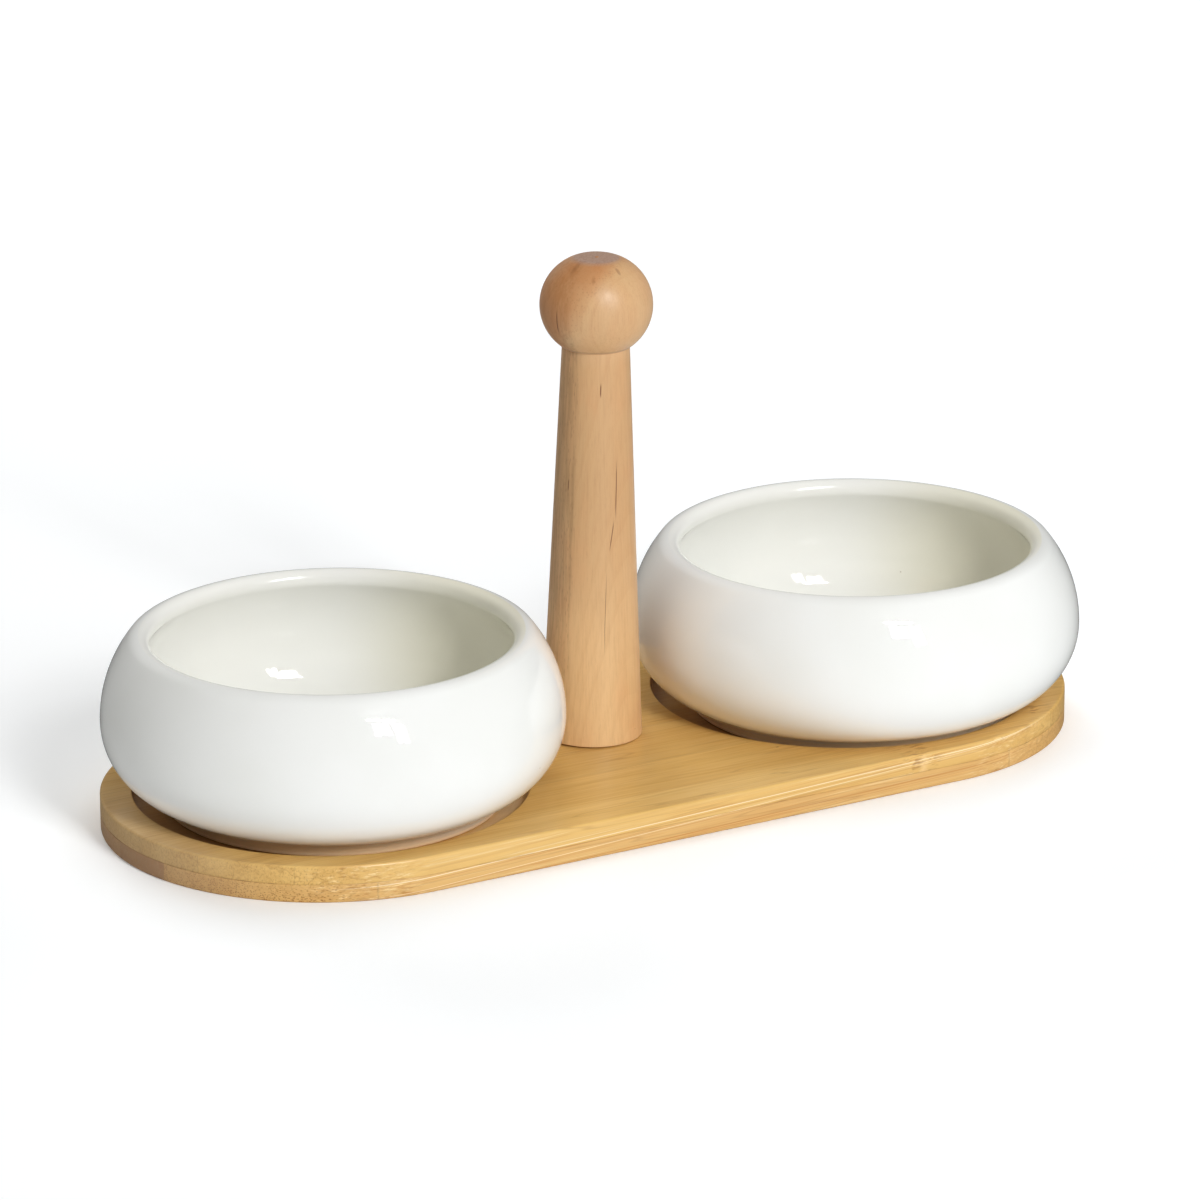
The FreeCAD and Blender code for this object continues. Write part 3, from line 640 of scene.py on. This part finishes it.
BELLY_RADIUS = 61.2 * MM
BELLY_HEIGHT = 22.9 * MM
LOWER_BELLY_ARC = 19.7 * MM
UPPER_BELLY_ARC = 34.9 * MM
LIP_OUTER_ARC = 4.2 * MM
LIP_INNER_ARC = 2.6 * MM
BOWL_FLOOR = 7.0 * MM
FOOT_RADIUS = 45.0 * MM
FOOT_WIDTH = 4.0 * MM
FOOT_HOLLOW = 2.2 * MM
FOOT_ROUND = 0.8 * MM
BOWL_SEGMENTS = 224
OUT_OF_ROUND = 0.0011
LIP_DIP = 0.10 * MM


def bowl_section(height):
    """Half the bowl's section, from the middle of the underside round the lip to the
    middle of the inside floor, with heights above the foot."""
    foot_inner = FOOT_RADIUS - FOOT_WIDTH
    lower_centre = (BELLY_RADIUS - LOWER_BELLY_ARC, BELLY_HEIGHT)
    upper_centre = (BELLY_RADIUS - UPPER_BELLY_ARC, BELLY_HEIGHT)
    lip_turn = math.asin((height - LIP_OUTER_ARC - BELLY_HEIGHT) / (UPPER_BELLY_ARC - LIP_OUTER_ARC))
    lip_radius = upper_centre[0] + (UPPER_BELLY_ARC - LIP_OUTER_ARC) * math.cos(lip_turn)
    lip_inner_height = height - LIP_INNER_ARC
    inner_turn = math.atan2(lip_inner_height - BELLY_HEIGHT, lip_radius - upper_centre[0])
    reach = math.hypot(lip_radius - upper_centre[0], lip_inner_height - BELLY_HEIGHT)
    inner_arc = reach - LIP_INNER_ARC
    corner_arc = BELLY_HEIGHT - BOWL_FLOOR
    corner_centre = (upper_centre[0] + inner_arc - corner_arc, BELLY_HEIGHT)

    # A small cove where the foot meets the belly.
    cove_reach = LOWER_BELLY_ARC + FOOT_ROUND
    cove_across = FOOT_RADIUS + FOOT_ROUND - lower_centre[0]
    cove_turn = math.acos(cove_across / cove_reach)
    cove_centre = (FOOT_RADIUS + FOOT_ROUND, BELLY_HEIGHT - cove_reach * math.sin(cove_turn))

    section = straight_points((0.0, FOOT_HOLLOW), (foot_inner - FOOT_ROUND, FOOT_HOLLOW), 24)
    section += arc_points(
        (foot_inner - FOOT_ROUND, FOOT_HOLLOW - FOOT_ROUND), FOOT_ROUND, QUARTER, 0.0, 5
    )
    section += arc_points((foot_inner + FOOT_ROUND, FOOT_ROUND), FOOT_ROUND, math.pi, 3 * QUARTER, 6)
    section += straight_points((foot_inner + FOOT_ROUND, 0.0), (FOOT_RADIUS - FOOT_ROUND, 0.0), 4)
    section += arc_points((FOOT_RADIUS - FOOT_ROUND, FOOT_ROUND), FOOT_ROUND, -QUARTER, 0.0, 6)
    section += arc_points(cove_centre, FOOT_ROUND, math.pi, math.pi - cove_turn, 5)
    section += arc_points(lower_centre, LOWER_BELLY_ARC, -cove_turn, 0.0, 22)
    section += arc_points(upper_centre, UPPER_BELLY_ARC, 0.0, lip_turn, 26)
    section += arc_points((lip_radius, height - LIP_OUTER_ARC), LIP_OUTER_ARC, lip_turn, QUARTER, 9)
    section += arc_points((lip_radius, lip_inner_height), LIP_INNER_ARC, QUARTER, math.pi + inner_turn, 12)
    section += arc_points(upper_centre, inner_arc, inner_turn, 0.0, 24)
    section += arc_points(corner_centre, corner_arc, 0.0, -QUARTER, 20)
    section += straight_points((corner_centre[0], BOWL_FLOOR), (0.0, BOWL_FLOOR), 22)
    return without_repeats(section)


def build_bowl(node, body, material, unevenness):
    """A bowl in its CAD node's box. The fired clay is out of true by a tenth of a
    millimetre or so, always inwards, and its lip dips by as little. unevenness is two
    angles in radians that say where."""
    low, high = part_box(node)
    middle = (low + high) / 2
    height = high.z - low.z
    first, second = unevenness

    def place(radius, above_foot, angle):
        share = min(1.0, max(0.0, above_foot / height))
        wave = 0.5 * (1 + math.cos(2 * (angle - first))) + 0.4 * (1 + math.cos(3 * angle - second))
        shrink = 1 - OUT_OF_ROUND * share * wave
        dip = LIP_DIP * share * 0.5 * (1 + math.cos(2 * angle + second))
        return (
            middle.x + radius * shrink * math.cos(angle),
            middle.y + radius * shrink * math.sin(angle),
            low.z + above_foot - dip * share,
        )

    builder = lathe(bowl_section(height), BOWL_SEGMENTS, place)
    new_piece(node + "_porcelain", builder, material, body, node)


# ---------------------------------------------------------------------- handle

NECK_RADIUS = 9.0 * MM
KNOB_ARC = 13.5 * MM
KNOB_OFFSET = 1.5 * MM
KNOB_CENTRE = 119.2 * MM
FLAT_RADIUS = 5.5 * MM
PIP_RADIUS = 0.5 * MM
PIP_HEIGHT = 0.25 * MM
HANDLE_FOOT_RADIUS = 13.5 * MM
FOOT_EASE = 0.3 * MM
SCREW_BORE_RADIUS = 4.0 * MM
SCREW_BORE_DEPTH = 15.0 * MM
FLANGE_DEPTH = 1.2 * MM
FLAT_RINGS = 9
HANDLE_SEGMENTS = 160


def handle_section():
    """Half the handle's section, from the end of the insert's bore round to the pip."""
    insert_low, insert_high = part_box("handle_insert")
    flange_radius = (insert_high.y - insert_low.y) / 2
    arc_centre = (KNOB_OFFSET, KNOB_CENTRE)
    neck_turn = -math.acos((NECK_RADIUS - KNOB_OFFSET) / KNOB_ARC)
    flat_turn = math.acos((FLAT_RADIUS - KNOB_OFFSET) / KNOB_ARC)
    neck = (NECK_RADIUS, KNOB_CENTRE + KNOB_ARC * math.sin(neck_turn))
    flat_height = KNOB_CENTRE + KNOB_ARC * math.sin(flat_turn)
    slope = (HANDLE_FOOT_RADIUS - NECK_RADIUS) / neck[1]

    bore_end = (SCREW_BORE_RADIUS, SCREW_BORE_DEPTH)
    bore_mouth = (SCREW_BORE_RADIUS, FLANGE_DEPTH)
    section = straight_points((0.0, SCREW_BORE_DEPTH), bore_end, 3)
    section += straight_points(bore_end, bore_mouth, 6)
    section += straight_points(bore_mouth, (flange_radius, FLANGE_DEPTH), 2)
    section += straight_points((flange_radius, FLANGE_DEPTH), (flange_radius, 0.0), 2)
    section += straight_points((flange_radius, 0.0), (HANDLE_FOOT_RADIUS - FOOT_EASE, 0.0), 4)
    section += arc_points(
        (HANDLE_FOOT_RADIUS - FOOT_EASE, FOOT_EASE), FOOT_EASE, -QUARTER, 0.0, 5
    )[1:-1]
    section += straight_points((HANDLE_FOOT_RADIUS - slope * FOOT_EASE, FOOT_EASE), neck, 90)
    section += arc_points(arc_centre, KNOB_ARC, neck_turn, flat_turn, 64)

    # Rings left by the parting tool on the flat, then the pip in the middle.
    for ring in range(1, FLAT_RINGS + 1):
        radius = FLAT_RADIUS + (PIP_RADIUS * 1.5 - FLAT_RADIUS) * ring / FLAT_RINGS
        height = flat_height - (0.05 * MM if ring % 2 else 0.012 * MM)
        section.append((radius, height))
    pip_arc = (PIP_RADIUS**2 + PIP_HEIGHT**2) / (2 * PIP_HEIGHT)
    pip_turn = math.acos(PIP_RADIUS / pip_arc)
    section += arc_points(
        (0.0, flat_height + PIP_HEIGHT - pip_arc), pip_arc, pip_turn, QUARTER, 5
    )[:-1]
    section.append((0.0, flat_height + PIP_HEIGHT))
    return without_repeats(section)


def handle_foot():
    """The middle of the handle's foot. The handle leans over one edge of its foot, which
    is the lowest point of its box."""
    low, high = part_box("turned_handle")
    return Vector((
        low.x + HANDLE_FOOT_RADIUS * math.cos(HANDLE_LEAN),
        (low.y + high.y) / 2,
        low.z + HANDLE_FOOT_RADIUS * math.sin(HANDLE_LEAN),
    ))


def build_handle(material):
    foot = handle_foot()

    def place(radius, height, angle):
        x = radius * math.cos(angle)
        return (
            foot.x + x * math.cos(HANDLE_LEAN) + height * math.sin(HANDLE_LEAN),
            foot.y + radius * math.sin(angle),
            foot.z - x * math.sin(HANDLE_LEAN) + height * math.cos(HANDLE_LEAN),
        )

    builder = lathe(handle_section(), HANDLE_SEGMENTS, place)
    new_piece("turned_handle_wood", builder, material, "server_board", "turned_handle")


# ----------------------------------------------------------------------- board

EDGE_ROUND = 0.7 * MM
POCKET_EDGE_ROUND = 0.35 * MM
POCKET_RADIUS = 52.5 * MM
POCKET_CENTRE = 79.0 * MM
POCKET_DEPTH = 3.2 * MM
POCKET_CORNER = 0.25 * MM
SCREW_HOLE_RADIUS = 3.0 * MM
HEAD_HOLE_RADIUS = 7.0 * MM
GLUE_EASE = 0.12 * MM
FLAT_MARGIN = 0.25 * MM
BOARD_END_STEPS = 96
BOARD_SIDE_STEPS = 60
EDGE_STEPS = 8
POCKET_SEGMENTS = 224


def outline_points(low, high, inset):
    """The board's outline as (x, y) points, moved in by inset."""
    radius = (high.y - low.y) / 2
    half_straight = (high.x - low.x) / 2 - radius
    reach = radius - inset
    made = []
    for side in (1, -1):
        for step in range(BOARD_END_STEPS):
            angle = -QUARTER + math.pi * step / BOARD_END_STEPS
            along = half_straight + reach * math.cos(angle)
            made.append((side * along, side * reach * math.sin(angle)))
        for step in range(BOARD_SIDE_STEPS):
            along = half_straight - 2 * half_straight * step / BOARD_SIDE_STEPS
            made.append((side * along, side * reach))
    return made


def circle_points(centre_x, radius, count):
    """A circle about a point on the X axis, as (x, y) points."""
    return [
        (centre_x + radius * math.cos(TURN * n / count), radius * math.sin(TURN * n / count))
        for n in range(count)
    ]


def add_ring(builder, points, height):
    return [builder.verts.new((x, y, height)) for x, y in points]


def bridge(builder, lower, upper):
    """Joins two rings of the same number of points with quads."""
    for number in range(len(lower)):
        after = (number + 1) % len(lower)
        builder.faces.new((lower[number], lower[after], upper[after], upper[number]))


def ring_edges(builder, ring):
    """The edges round a ring, made where they are missing."""
    found = []
    for number, vertex in enumerate(ring):
        after = ring[(number + 1) % len(ring)]
        edge = builder.edges.get((vertex, after))
        found.append(edge if edge else builder.edges.new((vertex, after)))
    return found


def fill_flat(builder, rings):
    """Fills the flat region between the first ring and the holes inside it."""
    edges = []
    for ring in rings:
        edges += ring_edges(builder, ring)
    bmesh.ops.triangle_fill(builder, use_beauty=True, use_dissolve=False, edges=edges)


def stack_rings(builder, levels):
    """Adds a ring for each (points, height) level and joins each to the next."""
    rings = [add_ring(builder, points, height) for points, height in levels]
    for lower, upper in zip(rings, rings[1:]):
        bridge(builder, lower, upper)
    return rings


def hole_levels(radius, count, low, high):
    """Levels down the wall of a round hole through the middle of a ply."""
    heights = (high.z, (low.z + high.z) / 2, low.z)
    return [(circle_points(0.0, radius, count), height) for height in heights]


def wall_levels(low, high, shares):
    """Levels part of the way up a ply's straight wall."""
    return [(outline_points(low, high, 0.0), low.z + (high.z - low.z) * share) for share in shares]


def glue_side_levels(low, high, height, direction):
    """The eased edge where a ply meets the other, then the wall's first level."""
    return [
        (outline_points(low, high, GLUE_EASE + FLAT_MARGIN), height),
        (outline_points(low, high, GLUE_EASE), height),
        (outline_points(low, high, GLUE_EASE * 0.3), height + direction * GLUE_EASE * 0.4),
        (outline_points(low, high, 0.0), height + direction * GLUE_EASE),
    ]


def rounded_side_levels(low, high, height, direction):
    """The wall's last level, its rounded edge, and a narrow flat margin."""
    levels = []
    for step in range(EDGE_STEPS + 1):
        angle = QUARTER * step / EDGE_STEPS
        inset = EDGE_ROUND * (1 - math.cos(angle))
        up = height - direction * EDGE_ROUND * (1 - math.sin(angle))
        levels.append((outline_points(low, high, inset), up))
    levels.append((outline_points(low, high, EDGE_ROUND + FLAT_MARGIN), height))
    return levels


def pocket_section(face_height):
    """A pocket's section as (radius, height) points, from a flat margin round it on the
    face, over its eased edge and down its wall, to a small ring in the middle."""
    floor_height = face_height - POCKET_DEPTH
    section = [(POCKET_RADIUS + POCKET_EDGE_ROUND + FLAT_MARGIN, face_height)]
    for step in range(6):
        angle = QUARTER * step / 5
        section.append((
            POCKET_RADIUS + POCKET_EDGE_ROUND * (1 - math.sin(angle)),
            face_height - POCKET_EDGE_ROUND * (1 - math.cos(angle)),
        ))
    section += [(POCKET_RADIUS, floor_height + POCKET_DEPTH * share) for share in (0.6, 0.35)]
    for step in range(5):
        angle = QUARTER * step / 4
        section.append((
            POCKET_RADIUS - POCKET_CORNER * (1 - math.cos(angle)),
            floor_height + POCKET_CORNER * (1 - math.sin(angle)),
        ))
    for share in (0.985, 0.9, 0.75, 0.55, 0.35, 0.18, 0.06):
        section.append((POCKET_RADIUS * share, floor_height))
    return section


def build_top_ply(material):
    """The upper ply, with its two pockets and the screw's hole."""
    low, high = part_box("board_top_ply")
    builder = bmesh.new()
    levels = glue_side_levels(low, high, low.z, 1)
    levels += wall_levels(low, high, (0.3, 0.55, 0.75))
    levels += rounded_side_levels(low, high, high.z, 1)
    sides = stack_rings(builder, levels)

    top_holes = []
    for side in (-1, 1):
        rings = stack_rings(builder, [
            (circle_points(side * POCKET_CENTRE, radius, POCKET_SEGMENTS), height)
            for radius, height in pocket_section(high.z)
        ])
        top_holes.append(rings[0])
        builder.faces.new(rings[-1])

    screw_hole = stack_rings(builder, hole_levels(SCREW_HOLE_RADIUS, 64, low, high))
    fill_flat(builder, [sides[-1], *top_holes, screw_hole[0]])
    fill_flat(builder, [sides[0], screw_hole[-1]])
    new_piece("board_top_ply_bamboo", builder, material, "server_board", "board_top_ply")


def build_bottom_ply(material):
    """The lower ply, with the hole that takes the screw's head."""
    low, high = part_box("board_bottom_ply")
    builder = bmesh.new()
    levels = glue_side_levels(low, high, high.z, -1)
    levels += wall_levels(low, high, (0.75, 0.5, 0.3))
    levels += rounded_side_levels(low, high, low.z, -1)
    sides = stack_rings(builder, levels)
    head_hole = stack_rings(builder, hole_levels(HEAD_HOLE_RADIUS, 96, low, high))
    fill_flat(builder, [sides[0], head_hole[0]])
    fill_flat(builder, [sides[-1], head_hole[-1]])
    new_piece(
        "board_bottom_ply_bamboo", builder, material, "server_board", "board_bottom_ply"
    )


GLUE_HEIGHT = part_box("board_bottom_ply")[1].z

# Strips from the front edge to the back: darkness, place of the culm node along X (0 at
# the left end, 1 at the right), strength of the fibre dots.
TOP_STRIPS = (
    (0.10, 0.50, 0.80),
    (0.03, 0.74, 0.60),
    (0.10, 0.90, 0.60),
    (0.26, 0.21, 0.80),
    (0.28, 0.83, 0.60),
    (0.08, 0.16, 0.70),
    (0.20, 0.77, 0.80),
    (0.10, 0.35, 0.60),
)
BOTTOM_STRIPS = (
    (0.04, 0.30, 0.90),
    (0.06, 0.02, 0.95),
    (0.04, 0.97, 1.00),
    (0.10, 0.20, 1.00),
    (0.85, 0.80, 0.40),
    (0.60, 0.12, 0.60),
    (0.24, 0.70, 0.80),
    (0.20, 0.40, 0.80),
)

# Threads that run the length of the front face: height in mm at the board's middle, climb
# to the right, half the width in mm, strength and colour.
PALE_THREAD = rgb(255, 238, 200)
DARK_THREAD = rgb(190, 118, 48)
FRONT_THREADS = (
    (6.60, 0.028, 0.20, 0.90, PALE_THREAD),
    (5.95, 0.029, 0.16, 0.45, DARK_THREAD),
    (4.75, 0.044, 0.14, 0.70, PALE_THREAD),
    (4.20, 0.040, 0.30, 0.30, DARK_THREAD),
    (1.60, 0.024, 0.24, 0.55, DARK_THREAD),
    (0.70, 0.026, 0.16, 0.45, DARK_THREAD),
)
top_bamboo = bamboo_finish(
    "bamboo_top", -8.5 * MM, 0.030, (0.30 * MM, 0.80 * MM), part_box("board_top_ply")[1].z, TOP_STRIPS,
    rgb(232, 192, 116), rgb(220, 176, 98), rgb(176, 154, 112),
)
bottom_bamboo = bamboo_finish(
    "bamboo_bottom", -17.8 * MM, 0.024, (0.44 * MM, 0.42 * MM), 0.0, BOTTOM_STRIPS,
    rgb(227, 185, 116), rgb(215, 169, 100), rgb(158, 112, 74),
)
build_top_ply(top_bamboo)
build_bottom_ply(bottom_bamboo)

for node, body, unevenness in (
    ("left_bowl", "left_bowl_body", (0.7, 1.9)),
    ("right_bowl", "right_bowl_body", (2.1, 0.4)),
):
    build_bowl(node, body, porcelain_finish(node + "_glaze", node), unevenness)

build_handle(turned_wood_finish("turned_hardwood", handle_foot()))

STEEL = metal_finish("plated_steel_finish", rgb(176, 174, 168), rgb(140, 136, 128), 0.28)
BRASS = metal_finish("brass_finish", rgb(206, 168, 92), rgb(164, 122, 60), 0.30)
for node, metal, slot_name in (
    ("handle_insert", BRASS, "insert_brass"),
    ("handle_screw", STEEL, "plated_steel"),
    ("handle_washer", STEEL, "plated_steel"),
):
    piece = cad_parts[node]
    piece.data.materials.clear()
    piece.data.materials.append(metal)


# --------------------------------------------------------------- floor and light

WHITE = (1.0, 1.0, 1.0, 1.0)
FLOOR_REACH = 8.0


def build_floor():
    """A wide pale floor that everything stands on. It glows like a sheet of milk glass lit
    from below: a little where the object stands, and brightly far out."""
    finish = Finish("pale_floor")
    mottle = finish.noise(finish.stretched(9, 9, 9))
    far_out = finish.length(finish.x, finish.y)
    finish.colour = finish.mix(mottle, rgb(248, 250, 252), rgb(246, 248, 250))
    finish.surface(
        Roughness=0.85,
        Specular_IOR_Level=0.2,
        Emission_Color=WHITE,
        Emission_Strength=finish.rise(far_out, 0.7, 2.5, 0.135, 1.0),
    )
    builder = bmesh.new()
    bmesh.ops.create_grid(builder, x_segments=24, y_segments=24, size=FLOOR_REACH)
    mesh = bpy.data.meshes.new("floor")
    builder.to_mesh(mesh)
    builder.free()
    mesh.materials.append(finish.material)
    floor = bpy.data.objects.new("floor", mesh)
    bpy.context.scene.collection.objects.link(floor)
    floor.visible_glossy = False


def direction(azimuth_deg, elevation_deg):
    """A unit vector towards a place in the room, azimuth 0 along +X and 90 along +Y."""
    azimuth = math.radians(azimuth_deg)
    elevation = math.radians(elevation_deg)
    return Vector((
        math.cos(azimuth) * math.cos(elevation),
        math.sin(azimuth) * math.cos(elevation),
        math.sin(elevation),
    ))


def rectangle_light(name, place, turn, width, height, power):
    light = bpy.data.lights.new(name, "AREA")
    light.shape = "RECTANGLE"
    light.size = width
    light.size_y = height
    light.energy = power
    lamp = bpy.data.objects.new(name, light)
    bpy.context.scene.collection.objects.link(lamp)
    lamp.rotation_mode = "QUATERNION"
    lamp.rotation_quaternion = turn
    lamp.location = place
    lamp.visible_camera = False
    return lamp


def soft_light(name, azimuth_deg, elevation_deg, width, height, power, colour):
    """A rectangular light two metres away that faces the object. It stands for light from
    the room's pale walls, so it has no mirror image in the glaze."""
    back = direction(azimuth_deg, elevation_deg)
    lamp = rectangle_light(
        name, MIDDLE + back * SOFT_LIGHT_DISTANCE, back.to_track_quat("Z", "Y"), width, height, power
    )
    lamp.data.color = colour
    lamp.visible_glossy = False


def window_pane(name, left, right, bottom, top, power):
    """A pane in the window wall, which stands behind the camera, parted by an upright
    glazing bar. Its sides are measured along the wall and up it, from the foot of the
    wall's perpendicular to the object."""
    back = direction(WALL_AZIMUTH, 0.0)
    turn = back.to_track_quat("Z", "Y")
    half = (right - left) / 2
    for part, start in (("a", left), ("b", left + half)):
        middle = Vector((start + half / 2, (bottom + top) / 2, 0.0))
        place = MIDDLE + back * WALL_DISTANCE + turn @ middle
        rectangle_light(name + "_" + part, place, turn, half - GLAZING_BAR, top - bottom, power / 2)


MIDDLE = Vector((0.0, 0.0, 0.046))
SOFT_LIGHT_DISTANCE = 2.0
WALL_DISTANCE = 1.5
WALL_AZIMUTH = -117
GLAZING_BAR = 0.03
PLAIN_LIGHT = (1.0, 1.0, 1.0)
WARM_LIGHT = (1.0, 0.96, 0.84)
ROOM_GLOW = 0.075

build_floor()

# Window panes: left and right side, foot, head, and power in watts.
for name, left, right, bottom, top, power in (
    ("window_left_pane", 0.50, 0.80, 0.83, 1.21, 13.5),
    ("window_right_pane", 0.84, 1.08, 0.60, 1.21, 10.2),
    ("window_transom", 0.44, 0.96, 1.335, 1.40, 12.5),
):
    window_pane(name, left, right, bottom, top, power)

# Soft lights: azimuth, elevation, width, height, power in watts, and colour.
for name, azimuth_deg, elevation_deg, width, height, power, colour in (
    ("left_wall", 180, 45, 1.2, 1.2, 5.0, WARM_LIGHT),
    ("front_low", -90, 14, 1.2, 0.9, 4.9, PLAIN_LIGHT),
    ("right_low", 0, 20, 1.2, 0.9, 6.5, PLAIN_LIGHT),
    ("back_low", 90, 20, 1.2, 0.9, 16.0, PLAIN_LIGHT),
    ("ceiling", 54, 68, 1.2, 1.2, 12.4, PLAIN_LIGHT),
):
    soft_light(name, azimuth_deg, elevation_deg, width, height, power, colour)

world = bpy.data.worlds.new("room")
world.use_nodes = True
background = world.node_tree.nodes["Background"]
background.inputs["Color"].default_value = WHITE
background.inputs["Strength"].default_value = ROOM_GLOW
bpy.context.scene.world = world
bpy.context.scene.view_settings.view_transform = "Standard"

# ---------------------------------------------------------------------- camera

# The camera stands where the photo's did, as far as the board's and rims' outlines tell.
TARGET = Vector((-17.74, -35.91, 61.16)) * MM
CAMERA_AZIMUTH = -119.73
CAMERA_ELEVATION = 19.02
CAMERA_ROLL = -0.28
CAMERA_DISTANCE = 1.8585
LENS_MM = 213.66
SENSOR_MM = 36.0
CLIP_START = 0.05
CLIP_END = 50.0

camera_data = bpy.data.cameras.new("camera")
camera_data.sensor_width = SENSOR_MM
camera_data.lens = LENS_MM
camera_data.clip_start = CLIP_START
camera_data.clip_end = CLIP_END
camera = bpy.data.objects.new("camera", camera_data)
bpy.context.scene.collection.objects.link(camera)
bpy.context.scene.camera = camera
camera_back = direction(CAMERA_AZIMUTH, CAMERA_ELEVATION)
camera.location = TARGET + camera_back * CAMERA_DISTANCE
camera.rotation_mode = "QUATERNION"
camera.rotation_quaternion = camera_back.to_track_quat("Z", "Y") @ Quaternion(
    (0.0, 0.0, 1.0), math.radians(CAMERA_ROLL)
)
